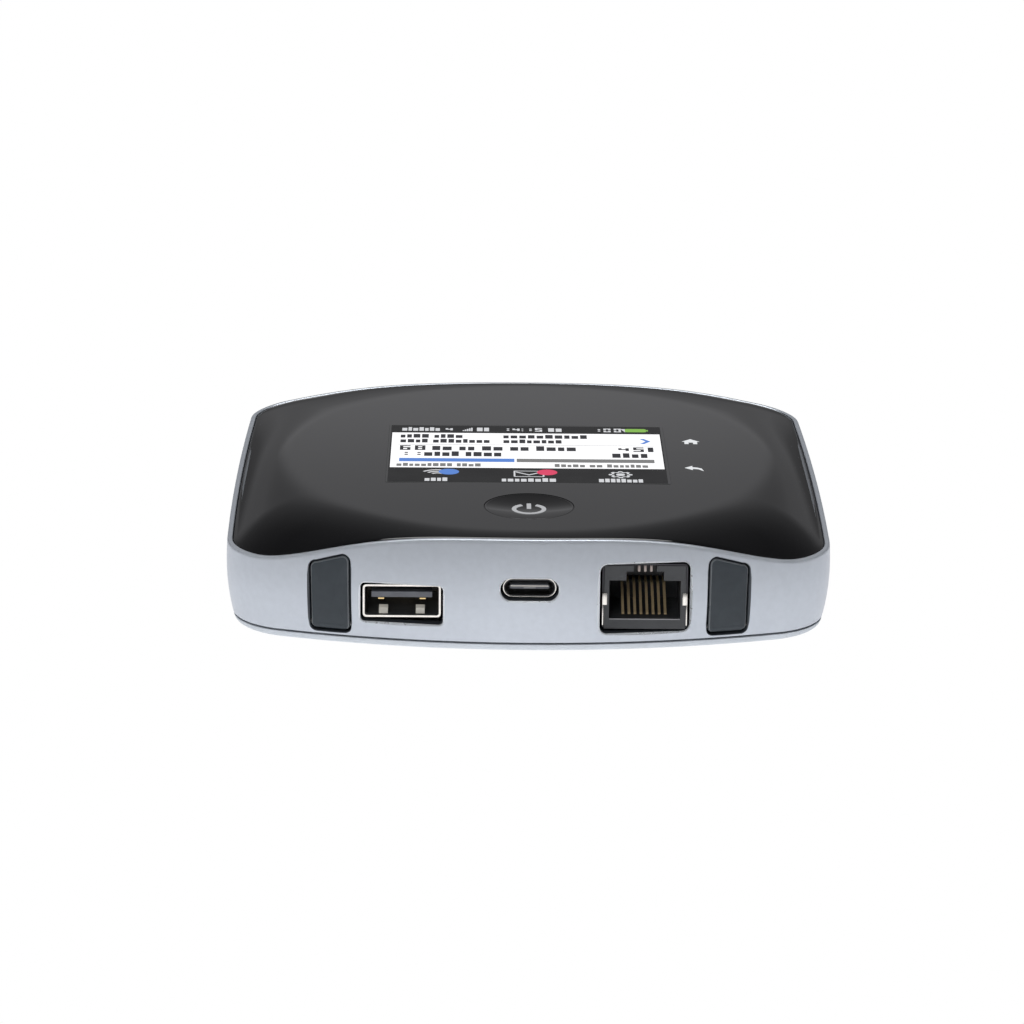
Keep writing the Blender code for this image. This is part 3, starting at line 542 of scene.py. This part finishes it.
def make_band():
    """The silver wall, from the parting line to the lip around the top panel."""
    rings = []
    start = BAND_BOTTOM + FOOT_ROUNDING
    for row in range(BAND_ROWS + 1):
        height = start + (EDGE - LIP_CHAMFER - start) * row / BAND_ROWS
        rings.append(ring_at(wall_inset(height), height))
    top = wall_inset(EDGE)
    lip = ((0.06, 0.08), (0.2, 0.01), (LIP_CHAMFER + 0.1, 0.0), (LIP_WIDTH - 0.1, 0.0),
           (LIP_WIDTH, 0.08), (LIP_WIDTH, LEDGE_DEPTH))
    rings += [ring_at(top + inset, EDGE - drop) for inset, drop in lip]
    rings.append(ring_at(WALL_INNER, EDGE - LEDGE_DEPTH))
    rings.append(ring_at(WALL_INNER, BAND_BOTTOM))
    rings.append(ring_at(wall_inset(BAND_BOTTOM) + FOOT_ROUNDING, BAND_BOTTOM))
    band = skin("silver_band", rings, SILVER, closed=True)
    ports = (  # name, node, then width, height, corner radius and offset of the opening
        ("usb_a_mouth", "usb_a_shell", rounded(13.95, 6.9, 0.8, (0.0, -0.21))),
        ("usb_c_mouth", "usb_c_shell", rounded(9.8, 3.85, 1.9, steps=12)),
        ("rj45_mouth", "rj45_shield", rounded(15.2, 12.3, 1.3, (0.0, -0.12))),
    )
    cutters = []
    for name, node, shape in ports:
        middle = middle_of(node)
        cutters.append(port_cutter(name, shape, middle.x, middle.z))
    for name in DOOR_NAMES:
        cutters += recess_cutters(name)
    carve(band, cutters)
    stand_for(band, "root", "silver_paint", "mid_frame")


# ---------------------------------------------------------------- port details

def across_bar(name, profile, left, right, material):
    """A bar along x with a side profile of (y, z) points."""
    rings = [[(x, y, z) for y, z in profile] for x in (left, right)]
    return skin(name, rings, material)


def make_usb_a_details():
    """The tongue, a dark tube of painted shade inside the shell and the two spring leaves in the
    floor of the shell.
    """
    low, high = box_of("usb_a_shell")
    middle, z, rim = (low.x + high.x) / 2, (low.z + high.z) / 2, low.y
    tongue_low, tongue_high = box_of("usb_a_tongue")
    front, back, chamfer = tongue_low.y, tongue_high.y - 1.0, 0.1
    bottom, top = z + 0.34, z + 1.38
    profile = [(front, bottom + 0.08), (front, top - 0.08), (front + chamfer, top), (back, top),
               (back, bottom), (front + chamfer, bottom)]
    blade = across_bar("usb_a_tongue_blade", profile, middle - 5.1, middle + 5.1, TONGUE)
    stand_for(blade, "root", "black_plastic", "usb_a_tongue")
    # A dark tube just inside the metal shell: painted shade where the inside of the shell lies in
    # shadow.
    outer, inner, near, far = (12.48, 5.08), (12.3, 4.9), 0.4, 12.9
    tube = []
    for size, along in ((outer, near), (outer, far), (inner, far), (inner, near)):
        tube.append([(middle + across, rim + along, z + up) for across, up in rounded(*size, 0.3)])
    stand_for(skin("usb_a_painted_shade", tube, SOCKET_PLASTIC_AND_SHADE, closed=True), "root", "black_plastic")
    leaf = ((0.7, 0.0), (1.2, 0.85), (1.8, 1.25), (3.2, 0.7), (4.0, 0.0), (3.6, 0.0), (3.0, 0.5),
            (1.8, 1.05), (1.3, 0.7))
    profile = [(rim + along, low.z + 0.42 + up) for along, up in leaf]
    for name, centre in (("left", middle - 3.1), ("right", middle + 3.1)):
        spring = across_bar("usb_a_spring_" + name, profile, centre - 0.75, centre + 0.75, TIN)
        stand_for(spring, "root", "steel")


def make_usb_c_details():
    """A dark ring of painted shade over the rim of the mouth, and the bright edge and the rib on
    the tongue's front.
    """
    low, high = box_of("usb_c_tongue")
    z = (low.z + high.z) / 2
    front = box_of("usb_c_shell")[0].y
    # A dark ring just in front of the shell's rim hides it: painted shade.
    holes = [rounded(8.66, 2.98, 1.45, (0.0, z)), rounded(8.28, 2.56, 1.25, (0.0, z))]
    shade_ring = plates("usb_c_painted_shade_ring", holes, 0.005, 0.03, SOCKET_PLASTIC_AND_SHADE)
    for vertex in shade_ring.data.vertices:
        x, up, ahead = vertex.co
        vertex.co = (x, front * MM - ahead, up)
    stand_for(shade_ring, "root", "black_plastic")
    near, far, bevel = low.y - 0.05, low.y - 0.005, 0.02
    edge = block("usb_c_tongue_edge", (-3.2, near, z + 0.06), (3.2, far, z + 0.2), TIN, bevel)
    rib = block("usb_c_tongue_rib", (-1.0, near, z - 0.3), (1.0, far, z - 0.02), GREY, bevel)
    stand_for(edge, "root", "steel")
    stand_for(rib, "root", "black_plastic")


def make_rj45_details():
    """The shield's bright tabs, painted highlights along its edges, the wires above the plug
    opening, and a painted highlight along the sill.
    """
    low, high = box_of("rj45_housing")
    middle, rim = (low.x + high.x) / 2, low.y
    outer = 7.15
    # The second strips, bright along the dark shield's edges, are painted highlights.
    strips = (  # name, inner side, near and far face, foot, top
        ("rj45_side_tab_", 6.35, -0.08, -0.01, 8.2, 10.3),
        ("rj45_shield_edge_highlight_", 6.95, 0.02, 0.12, 4.6, 8.15),
    )
    for name, side in (("left", -1), ("right", 1)):
        for start, inner, near, far, foot, top in strips:
            left, right = sorted((middle + side * inner, middle + side * outer))
            strip = block(start + name, (left, rim + near, foot), (right, rim + far, top),
                          NICKEL, 0.02)
            stand_for(strip, "root", "steel")
    half, pitch = 0.22, 1.03
    for index, step in enumerate((-1, 0, 1), 1):
        centre = middle + step * pitch
        wire = block("rj45_notch_wire_%d" % index, (centre - half, rim + 0.35, 13.95),
                     (centre + half, rim + 0.75, 15.05), DULL_WIRE, 0.12)
        stand_for(wire, "root", "steel")
    # A thin light bar along the front edge of the cavity's floor: a painted highlight.
    sill_highlight = block("rj45_sill_highlight", (middle - 5.95, rim - 0.02, 5.62), (middle + 5.95, rim + 0.12, 5.79),
                 GREY, 0.03)
    stand_for(sill_highlight, "root", "black_plastic")


# ---------------------------------------------------------------- antenna doors

HINGE_INSET = float(wall_inset(DOOR_HINGE_Z)) + DOOR_BARREL


def door_place(name):
    """The side of the middle that a door is on, and its turn about the front arc's centre."""
    middle = middle_of("door_pin_" + name)
    turn = math.atan2(middle.x, FRONT_CENTRE - middle.y)
    return (1 if middle.x > 0 else -1), turn


def on_wall(turn, along, z, inset):
    """A point at a distance along the port side's curve, a height and an inset."""
    angle = turn + along / FRONT_RADIUS
    reach = FRONT_RADIUS - inset
    return (reach * math.sin(angle), FRONT_CENTRE - reach * math.cos(angle), z)


def door_shape(side, grow, foot, foot_radius):
    """The door seen from outside, slanted at the top, from its foot counter-clockwise."""
    half = DOOR_HALF_WIDTH + grow
    radius = DOOR_CORNER_RADIUS + grow
    heights = {-side: DOOR_TOP_NEAR + grow, side: DOOR_TOP_FAR + grow}
    points = arc(foot_radius, 180, 270, 6, (-half + foot_radius, foot + foot_radius))
    points += arc(foot_radius, 270, 360, 6, (half - foot_radius, foot + foot_radius))
    points += arc(radius, 0, 90, 8, (half - radius, heights[1] - radius))
    points += arc(radius, 90, 180, 8, (-half + radius, heights[-1] - radius))
    return points


def recess_cutters(name):
    """The door's recess, room for its barrel to turn, and the hole of the antenna connector."""
    side, turn = door_place(name)
    shape = door_shape(side, DOOR_GAP, DOOR_HINGE_Z - DOOR_BARREL - 0.35, RECESS_FOOT_RADIUS)
    flare, outside = 0.24, -2.5
    rings = []
    for grow, inset in ((0.0, DOOR_RECESS), (0.0, 0.12), (flare, -0.12), (flare, outside)):
        rings.append([on_wall(turn, along, z, float(wall_inset(z)) + inset)
                      for along, z in grown(shape, grow)])
    recess = skin(name + "_recess", rings, PORT_WALL)
    socket = bore(name + "_socket", SOCKET_RADIUS, 6.0, turn, 3.0,
                  middle_of("ts9_connector_" + name).z, "X")
    swing = bore(name + "_swing", DOOR_BARREL + 0.3, 2 * (DOOR_HALF_WIDTH - 0.5), turn,
                 HINGE_INSET, DOOR_HINGE_Z, "Y")
    return [recess, swing, socket]


def bore(name, radius, length, turn, inset, z, axis, material=PORT_WALL):
    """A round bar in the port side; about X it points into the case, about Y along the wall."""
    sides = arc(radius, 0, 360 - 360 / BORE_SIDES, BORE_SIDES - 1)
    item = skin(name, [[(x, y, end * length / 2) for x, y in sides] for end in (-1, 1)], material)
    middle = Vector(on_wall(turn, 0.0, z, inset)) * MM
    laid = Matrix.Rotation(turn, 4, "Z") @ Matrix.Rotation(math.pi / 2, 4, axis)
    item.data.transform(Matrix.Translation(middle) @ laid)
    return item


def make_door(name):
    """A flap with softened edges, lighter there as a painted highlight, on its round barrel; its
    foot follows the barrel's curve.
    """
    side, turn = door_place(name)
    hinge_z = DOOR_HINGE_Z
    shape = door_shape(side, 0.0, hinge_z - DOOR_BARREL + 0.05, DOOR_FOOT_RADIUS)
    centre_z = (hinge_z + DOOR_TOP_FAR) / 2
    rings = []
    for share in (0.25, 0.55, 0.86):
        rings.append([(along * share, centre_z + (z - centre_z) * share, 0.0)
                      for along, z in grown(shape, -0.4)])
    softening = ((-0.42, 0.0), (-0.24, 0.03), (-0.1, 0.12), (0.0, 0.32), (0.0, DOOR_INNER))
    for grow, inset in softening:
        rings.append([(along, z, inset) for along, z in grown(shape, grow)])

    def inset_at(z, inset):
        if z >= hinge_z or inset >= DOOR_INNER:
            return float(wall_inset(max(z, hinge_z))) + inset
        return HINGE_INSET - math.sqrt(max(0.0, DOOR_BARREL ** 2 - (hinge_z - z) ** 2)) + inset

    laid = [[on_wall(turn, along, z, inset_at(z, inset)) for along, z, inset in ring]
            for ring in rings]
    door = skin("door_skin_" + name, laid, DOOR)
    # the rounding of the flap's edge takes the lighter slate: a painted highlight
    paint_rows(door, len(shape), range(4, 6), DOOR_EDGE_HIGHLIGHT)
    barrel = bore(name + "_barrel", DOOR_BARREL - 0.005, 2 * (DOOR_HALF_WIDTH - 0.65), turn,
                  HINGE_INSET, hinge_z, "Y", DOOR)
    carve(door, [barrel], "UNION")
    stand_for(door, "antenna_door_" + name, "door_grey", "antenna_door_" + name)


# ---------------------------------------------------------------- top panel and key

def panel_ring(share, drop):
    """A ring at a share of the way out to the panel's edge, a drop below its surface."""
    edge_points = outline(wall_inset(EDGE) + LIP_WIDTH + PANEL_GAP)
    x, y = edge_points[:, 0] * share, edge_points[:, 1] * share
    return np.column_stack((x, y, top_height(x, y) - drop))


def circle_ring(radius, heights):
    """A ring about the key's axis."""
    start = 180 / KEY_SIDES
    points = arc(radius, start, start + 360 - 360 / KEY_SIDES, KEY_SIDES - 1, (0.0, KEY_Y))
    return [(x, y, heights(x, y)) for x, y in points]


def true_normals(item):
    """Gives the faces of the top the exact normals of its formula, so reflections run smooth."""
    mesh = item.data
    step, near, least_rise = 0.05, 0.01, 0.9
    normals = [Vector(corner.vector) for corner in mesh.corner_normals]
    for face in mesh.polygons:
        if face.normal.z < least_rise:
            continue
        for loop in face.loop_indices:
            x, y, z = mesh.vertices[mesh.loops[loop].vertex_index].co / MM
            if abs(z - float(top_height(x, y))) > near:
                continue
            slope_x = (top_height(x + step, y) - top_height(x - step, y)) / (2 * step)
            slope_y = (top_height(x, y + step) - top_height(x, y - step)) / (2 * step)
            normals[loop] = Vector((-float(slope_x), -float(slope_y), 1.0)).normalized()
    mesh.normals_split_custom_set(normals)


def make_panel():
    """The glossy black top, softened at its edge, with openings for the display and the key."""
    top_shares = np.concatenate((np.linspace(0.04, 0.96, 40), (0.975, 0.985)))
    rings = [panel_ring(share, 0.0) for share in top_shares]
    edge = ((0.991, 0.02), (0.995, 0.07), (0.998, 0.16), (1.0, 0.35), (1.0, PANEL_THICKNESS))
    rings += [panel_ring(share, drop) for share, drop in edge]
    rings += [panel_ring(share, PANEL_THICKNESS) for share in np.linspace(0.98, 0.05, 16)]
    panel = skin("gloss_panel", rings, GLOSS)
    width, depth = (size + 2 * HAIRLINE for size in WINDOW_SIZE)
    window = rounded(width, depth, 0.5, (0.0, WINDOW_Y))
    opening = plates("window_opening", [window], PLATEAU - 5, PLATEAU + 3, GLOSS)
    hole = skin("key_hole", [circle_ring(KEY_RADIUS + 0.05, lambda x, y: z) for z in (14.0, 24.0)],
                GLOSS)
    carve(panel, [opening, hole])
    true_normals(panel)
    stand_for(panel, "root", "gloss_black", "top_panel")


def make_key():
    """A dished cap that meets the panel in a soft rounded rim, with its lit symbol."""
    dish = [(radius, KEY_SINK + KEY_HOLLOW * (1 - (radius / KEY_RADIUS) ** 2))
            for radius in np.linspace(0.4, 7.2, 24)]
    rim = [(7.45, 0.045), (7.6, 0.05), (7.68, 0.1), (KEY_RADIUS, 0.2)]
    rings = []
    for radius, sink in dish + rim:
        rings.append(circle_ring(radius, lambda x, y: float(top_height(x, y)) - sink))
    flange, stem, foot = 8.6, 1.2, 15.9
    below = ((KEY_RADIUS, 18.8), (flange, 18.8), (flange, 18.2), (5.0, 18.2), (5.0, 18.9),
             (stem, 18.9), (stem, foot))
    for radius, z in below:
        rings.append(circle_ring(radius, lambda x, y: z))
    key = settle(skin("key_cap", rings, GLOSS))
    stand_for(key, "power_key", "gloss_black", "power_key")
    level = float(top_height(0.0, KEY_Y)) - KEY_SINK - KEY_HOLLOW
    symbol = plates("key_symbol", [
        band_arc(2.2, 2.95, 118, 422, (0.0, KEY_Y), 40),
        rectangle(-0.38, KEY_Y + 0.4, 0.38, KEY_Y + 3.1),
    ], level + 0.02, level + 0.1, KEY_ICON)
    for vertex in symbol.data.vertices:
        x, y = vertex.co.x / MM, vertex.co.y / MM
        vertex.co.z += KEY_HOLLOW * (math.hypot(x, y - KEY_Y) / KEY_RADIUS) ** 2 * MM
    stand_for(symbol, "power_key", "clear_plastic")


def make_window():
    """The pane over the display, just below the panel's level."""
    pane = plates("display_pane", [rounded(*WINDOW_SIZE, 0.45, (0.0, WINDOW_Y))],
                  PLATEAU - PANEL_THICKNESS, SCREEN_Z, SCREEN_BLACK)
    stand_for(pane, "root", "display_glass", "display_window")


# ---------------------------------------------------------------- display

def printed(name, shapes, layer, material):
    """Flat shapes on the display, each layer just above the last."""
    low = SCREEN_Z + LAYER * layer
    stand_for(plates(name, shapes, low, low + 0.75 * LAYER, material), "root", "display_glass")


def words(left, baseline, height, widths, pitch, seed):
    """A line of blocks that stand for words, as in a wireframe drawing."""
    chance = random.Random(seed)
    blocks = []
    x = left
    for letters in widths:
        for _ in range(letters):
            tall = height * chance.choice((0.78, 0.78, 0.9, 1.0))
            width = pitch * chance.choice((0.6, 0.76, 0.76, 0.86))
            blocks.append(rectangle(x, baseline, x + width, baseline + tall))
            x += width + pitch * 0.22
        x += pitch * 0.5
    return blocks


def lines(rows, seed):
    """Several lines of such blocks, with a seed for each."""
    return [shape for step, row in enumerate(rows) for shape in words(*row, seed + step)]


def numeral(figures, left, low, width, height, stroke):
    """Figures from the seven bars of a clock display."""
    lit = {"0": "abcdef", "1": "bc", "4": "fgbc", "5": "afgcd", "6": "afgedc", "8": "abcdefg"}
    middle, top, half = low + height / 2, low + height, stroke / 2
    strokes = []
    for figure in figures:
        right = left + width
        bars = {
            "a": rectangle(left, top - stroke, right, top),
            "g": rectangle(left, middle - half, right, middle + half),
            "d": rectangle(left, low, right, low + stroke),
            "f": rectangle(left, middle + half, left + stroke, top - stroke),
            "b": rectangle(right - stroke, middle + half, right, top - stroke),
            "e": rectangle(left, low + stroke, left + stroke, middle - half),
            "c": rectangle(right - stroke, low + stroke, right, middle - half),
        }
        strokes += [bars[bar] for bar in lit[figure]]
        left = right + stroke * 1.3
    return strokes


def make_display_picture():
    """A generic status page: bars for words, plain numerals and simple icons."""
    left, right = -24.35, 24.2
    printed("screen_backing", [rectangle(left - 0.25, -18.9, right + 0.25, 18.1)], 0, SCREEN_DARK)
    printed("screen_page", [rectangle(left, -9.7, right, 13.1)], 1, PAPER)
    dark = lines([  # left, foot, height, letters in each word, pitch
        (-22.8, 9.7, 2.5, (4, 4), 1.42), (-4.2, 9.7, 2.5, (10,), 1.6),
        (-22.8, 6.5, 2.5, (4, 8), 1.35), (-4.2, 6.5, 2.5, (8,), 1.4),
        (-17.0, 1.5, 3.1, (2, 2, 2, 2, 4), 1.9), (-18.4, -2.3, 3.1, (4, 4), 1.7),
        (15.2, -2.6, 3.0, (4,), 1.95),
    ], 1)
    dark += [rectangle(-23.2, 5.2, 23.0, 5.34), rectangle(21.7, 1.3, 22.7, 4.3)]
    dark += numeral("68", -22.8, 1.5, 1.9, 3.1, 0.6) + numeral("45", 16.4, 1.3, 1.9, 3.0, 0.6)
    dark += numeral("11", -22.8, -2.3, 1.5, 3.1, 0.6)
    printed("screen_words", dark, 2, INK)
    small = lines([(-23.2, -8.9, 2.0, (9, 4), 1.16), (4.8, -8.9, 2.0, (5, 2, 7), 1.16)], 8)
    printed("screen_small_words", small, 2, BAR_GREY)
    printed("screen_progress_rest", [rectangle(-1.9, -5.9, 22.6, -3.7)], 2, BAR_GREY)
    printed("screen_progress", [rectangle(-22.8, -5.9, -2.3, -3.7)], 2, BLUE)
    chevron = [(20.4, 6.6), (21.2, 6.6), (22.4, 8.3), (21.2, 10.0), (20.4, 10.0), (21.5, 8.3)]
    printed("screen_chevron", [chevron], 2, BLUE)
    foot, tall = 14.4, 2.4
    status = lines([(-22.6, foot, tall, (7,), 1.05), (-9.0, foot, tall, (2,), 1.2),
                    (4.0, foot, tall, (2,), 1.4), (17.1, foot, tall, (1,), 1.2)], 10)
    for bar in range(5):
        start = -11.6 + bar * 0.38
        status.append(rectangle(start, foot, start + 0.3, 15.0 + bar * 0.42))
    status += numeral("4", -14.7, foot, 1.3, 2.3, 0.45)
    for figures, start in (("14", -4.4), ("15", -0.3), ("100", 12.2)):
        status += numeral(figures, start, foot, 1.3, tall, 0.45)
    status += [rectangle(-0.85, 14.7, -0.55, 15.1), rectangle(-0.85, 15.9, -0.55, 16.3)]
    printed("screen_status", status, 1, LABEL)
    battery = [rounded(3.9, 2.2, 0.5, (19.9, 15.6)), rectangle(21.9, 15.1, 22.2, 16.1)]
    printed("screen_battery", battery, 1, GREEN)
    printed("screen_icons", menu_icons(), 1, LABEL)
    printed("screen_badge_blue", [arc(1.8, 0, 350, 35, (-13.9, -12.3))], 2, BLUE)
    printed("screen_badge_red", [arc(1.8, 0, 350, 35, (3.4, -12.3))], 2, RED)


def menu_icons():
    """Waves, an envelope and a gear, each over a word."""
    icons = [band_arc(radius, radius + 0.5, 40, 140, (-15.9, -14.3), 12)
             for radius in (0.9, 1.9, 2.9)]
    icons += [rounded(5.4, 3.8, 0.3, (0.2, -13.3)), rounded(4.8, 3.2, 0.2, (0.2, -13.3))]
    icons.append([(-2.1, -11.9), (0.2, -13.7), (2.5, -11.9), (2.5, -12.4), (0.2, -14.2),
                  (-2.1, -12.4)])
    x, y = centre = (16.3, -13.4)
    gear = []
    for turn in range(0, 360, 45):
        gear += arc(2.1, turn - 9, turn + 9, 2, centre) + arc(1.65, turn + 15, turn + 30, 2, centre)
    hollow = [(x + (across - x) * 0.72, y + (up - y) * 0.72) for across, up in gear]
    icons += [gear, hollow, arc(0.8, 0, 345, 23, centre)]
    return icons + lines([(-18.1, -18.2, 2.2, (4,), 1.12), (-4.6, -18.2, 2.2, (8,), 1.28),
                          (12.4, -18.2, 2.2, (8,), 1.02)], 14)


def make_panel_icons():
    """The home and back marks beside the display, printed on the panel."""
    home = [(-1.6, -0.1), (0.0, 1.6), (1.6, -0.1), (1.15, -0.1), (1.15, -1.6), (0.4, -1.6),
            (0.4, -0.6), (-0.4, -0.6), (-0.4, -1.6), (-1.15, -1.6), (-1.15, -0.1)]
    arrow = [(-1.7, 0.4), (-0.3, 1.7), (-0.3, 0.85), (0.6, 0.6), (1.3, 0.0), (1.6, -1.5),
             (0.7, -0.4), (-0.3, -0.1), (-0.3, -0.9)]
    for name, shape, x, y in (("home_mark", home, 29.65, 8.55), ("back_mark", arrow, 29.5, -9.1)):
        mark = plates(name, [[(x + across, y + up) for across, up in shape]], LAYER, 0.03, ICON)
        for vertex in mark.data.vertices:
            vertex.co.z += float(top_height(vertex.co.x / MM, vertex.co.y / MM)) * MM
        stand_for(mark, "root", "display_glass")


# ---------------------------------------------------------------- cover

def make_cover():
    """The removable underside, with a soft edge and a painted shadow on the inner rim behind the
    parting line.
    """
    foot = ring_at(3.0, 0.0)
    rings = [foot * (share, share, 1.0) for share in (0.1, 0.3, 0.5, 0.7, 0.9, 1.0)]
    rim_top = 3.0
    profile = (  # inset from the outline, height
        (2.4, 0.09), (1.95, 0.28), (1.6, 0.52), (1.35, 0.82), (1.2, 1.15), (1.14, COVER_TOP - 0.06),
        (1.2, COVER_TOP), (1.9, COVER_TOP), (3.3, COVER_TOP), (3.3, rim_top), (4.5, rim_top),
        (4.5, 1.2),
    )
    rings += [ring_at(inset, height) for inset, height in profile]
    cover = skin("underside_cover", rings, UNDERSIDE)
    # the cover's inner top and rim behind the parting line are painted dark: a painted shadow
    paint_rows(cover, len(RADII), range(13, 16), SEAM_SHADOW)
    settle(cover)
    stand_for(cover, "battery_cover", "silver_paint", "battery_cover")


# ---------------------------------------------------------------- inner pieces

def dress_nodes():
    """Procedural finishes for the nodes that keep their own shape."""
    wardrobe = {
        "antenna_door_left": DOOR, "antenna_door_right": DOOR, "battery_contact_block": BLACK,
        "battery_cover": UNDERSIDE, "battery_pack": WRAP, "display_window": SCREEN_BLACK,
        "heat_spreader": COPPER, "icon_light_guide": CLEAR, "inner_chassis": GREY,
        "lan_transformer": BLACK, "lcd_flex": FLEX, "lcd_panel": SCREEN_BLACK, "lcd_tray": STEEL,
        "main_pcb": BOARD, "microsd_socket": STEEL, "mid_frame": SILVER, "power_key": GLOSS,
        "power_led": CLEAR, "rj45_housing": SOCKET_PLASTIC_AND_SHADE, "rj45_shield": SHIELD, "sim_socket": STEEL,
        "tact_switch_body": STEEL, "tact_switch_plunger": BLACK, "top_panel": GLOSS,
        "touch_sensor": SCREEN_BLACK, "usb_a_shell": NICKEL, "usb_a_tongue": TONGUE,
        "usb_c_shell": NICKEL, "usb_c_tongue": TONGUE,
    }
    families = {
        "door_pin_": STEEL, "cellular_antenna_": BLACK, "wifi_antenna_": BLACK,
        "case_screw_": STEEL, "rj45_contact_": CONTACT, "usb_a_contact_": GOLD,
        "shield_can_": STEEL, "ts9_connector_": GOLD,
    }
    for name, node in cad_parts.items():
        material = wardrobe.get(name)
        for start, choice in families.items():
            if name.startswith(start):
                material = choice
        node.data.materials.clear()
        node.data.materials.append(material)


# ---------------------------------------------------------------- stage, lights and camera

def make_stage():
    """A plain pale floor that lights the object from below, a little under it.

    The camera sees the white world in its place, so the lowered cover and the underside show.
    """
    reach, level = 3000.0, -0.6
    corners = [(x, y, level) for x, y in rectangle(-reach, -reach, reach, reach)]
    material = bpy.data.materials.new("pale_floor")
    material.use_nodes = True
    shader = material.node_tree.nodes["Principled BSDF"]
    shader.inputs["Base Color"].default_value = (0.9, 0.9, 0.9, 1.0)
    shader.inputs["Roughness"].default_value = 0.9
    shader.inputs["Emission Color"].default_value = (1.0, 1.0, 1.0, 1.0)
    shader.inputs["Emission Strength"].default_value = 0.8
    floor = piece_from("pale_floor", corners, [(0, 1, 2, 3)], material)
    floor.visible_glossy = False
    floor.visible_camera = False


def level_ramp(tree, source, stops):
    """Grey levels, with a trace of blue, between stops at heights from -1 to 1."""
    ramp = tree.nodes.new("ShaderNodeValToRGB")
    elements = ramp.color_ramp.elements
    while len(elements) < len(stops):
        elements.new(0.5)
    for element, (place, level) in zip(elements, stops):
        element.position = (1 + place) / 2
        element.color = (level, level, level * 1.03, 1.0)
    tree.links.new(source, ramp.inputs["Fac"])
    return ramp.outputs["Color"]


def make_world():
    """A low tent: bright below, a soft band behind the object, dim higher up and to the sides.

    The camera itself sees white.
    """
    world = bpy.data.worlds.new("studio")
    bpy.context.scene.world = world
    world.use_nodes = True
    tree = world.node_tree
    background = tree.nodes["Background"]
    coords = tree.nodes.new("ShaderNodeTexCoord").outputs["Generated"]
    split = tree.nodes.new("ShaderNodeSeparateXYZ")
    tree.links.new(coords, split.inputs["Vector"])
    height = tree.nodes.new("ShaderNodeMapRange")
    height.inputs["From Min"].default_value = -1.0
    tree.links.new(split.outputs["Z"], height.inputs["Value"])
    above = ((0.36, 0.21), (0.43, 0.17), (0.64, 0.14), (0.85, 0.09))
    middle = ((-0.2, 1.35), (-0.09, 0.15), (0.0, 0.1), (0.14, 0.2), (0.21, 0.28), (0.25, 0.42),
              (0.28, 0.34))
    sides = ((-0.2, 1.0), (-0.13, 0.06), (-0.02, 0.1), (0.08, 0.2), (0.26, 0.25))
    straight = level_ramp(tree, height.outputs["Result"], middle + above)
    sideways = level_ramp(tree, height.outputs["Result"], sides + above)
    across = tree.nodes.new("ShaderNodeMath")
    across.operation = "ABSOLUTE"
    tree.links.new(split.outputs["X"], across.inputs[0])
    turn = tree.nodes.new("ShaderNodeMapRange")
    turn.interpolation_type = "SMOOTHSTEP"
    turn.inputs["From Min"].default_value = 0.04
    turn.inputs["From Max"].default_value = 0.17
    tree.links.new(across.outputs["Value"], turn.inputs["Value"])
    around = tree.nodes.new("ShaderNodeMix")
    around.data_type = "RGBA"
    tree.links.new(turn.outputs["Result"], around.inputs["Factor"])
    tree.links.new(straight, around.inputs["A"])
    tree.links.new(sideways, around.inputs["B"])
    rays = tree.nodes.new("ShaderNodeLightPath")
    mix = tree.nodes.new("ShaderNodeMix")
    mix.data_type = "RGBA"
    mix.inputs["B"].default_value = (1.0, 1.0, 1.0, 1.0)
    tree.links.new(rays.outputs["Is Camera Ray"], mix.inputs["Factor"])
    tree.links.new(around.outputs["Result"], mix.inputs["A"])
    tree.links.new(mix.outputs["Result"], background.inputs["Color"])


def soft_light(name, place, target, size, power, mirrored):
    """A round soft lamp; the gloss reflects it only if it is mirrored."""
    lamp = bpy.data.lights.new(name, "AREA")
    lamp.shape = "DISK"
    lamp.size = size
    lamp.energy = power
    item = bpy.data.objects.new(name, lamp)
    item.location = place
    item.visible_glossy = mirrored
    item.rotation_euler = (Vector(target) - Vector(place)).to_track_quat("-Z", "Y").to_euler()
    bpy.context.scene.collection.objects.link(item)


def make_camera():
    """A long lens that looks down a little on the port side."""
    camera = bpy.data.cameras.new("camera")
    camera.lens = CAMERA_LENS
    camera.sensor_width = 36.0
    camera.clip_start = 0.01
    item = bpy.data.objects.new("camera", camera)
    pan, tilt, roll = (math.radians(angle) for angle in (CAMERA_PAN, CAMERA_TILT, CAMERA_ROLL))
    turn = Matrix.Rotation(-pan, 4, "Z") @ Matrix.Rotation(math.pi / 2 - tilt, 4, "X")
    place = Matrix.Translation(Vector(CAMERA_PLACE) * MM)
    item.matrix_world = place @ turn @ Matrix.Rotation(roll, 4, "Z")
    bpy.context.scene.collection.objects.link(item)
    bpy.context.scene.camera = item


def main():
    bpy.context.scene.view_settings.view_transform = "Standard"
    make_camera()
    make_stage()
    make_world()
    soft_light("overhead", (0.0, 0.1, 0.9), (0.0, 0.0, 0.0), 0.7, 6.0, True)
    soft_light("front", (-0.3, -0.9, 0.5), (0.0, 0.0, 0.01), 0.5, 4.0, False)
    dress_nodes()
    make_band()
    make_usb_a_details()
    make_usb_c_details()
    make_rj45_details()
    for name in DOOR_NAMES:
        make_door(name)
    make_panel()
    make_key()
    make_window()
    make_display_picture()
    make_panel_icons()
    make_cover()


main()
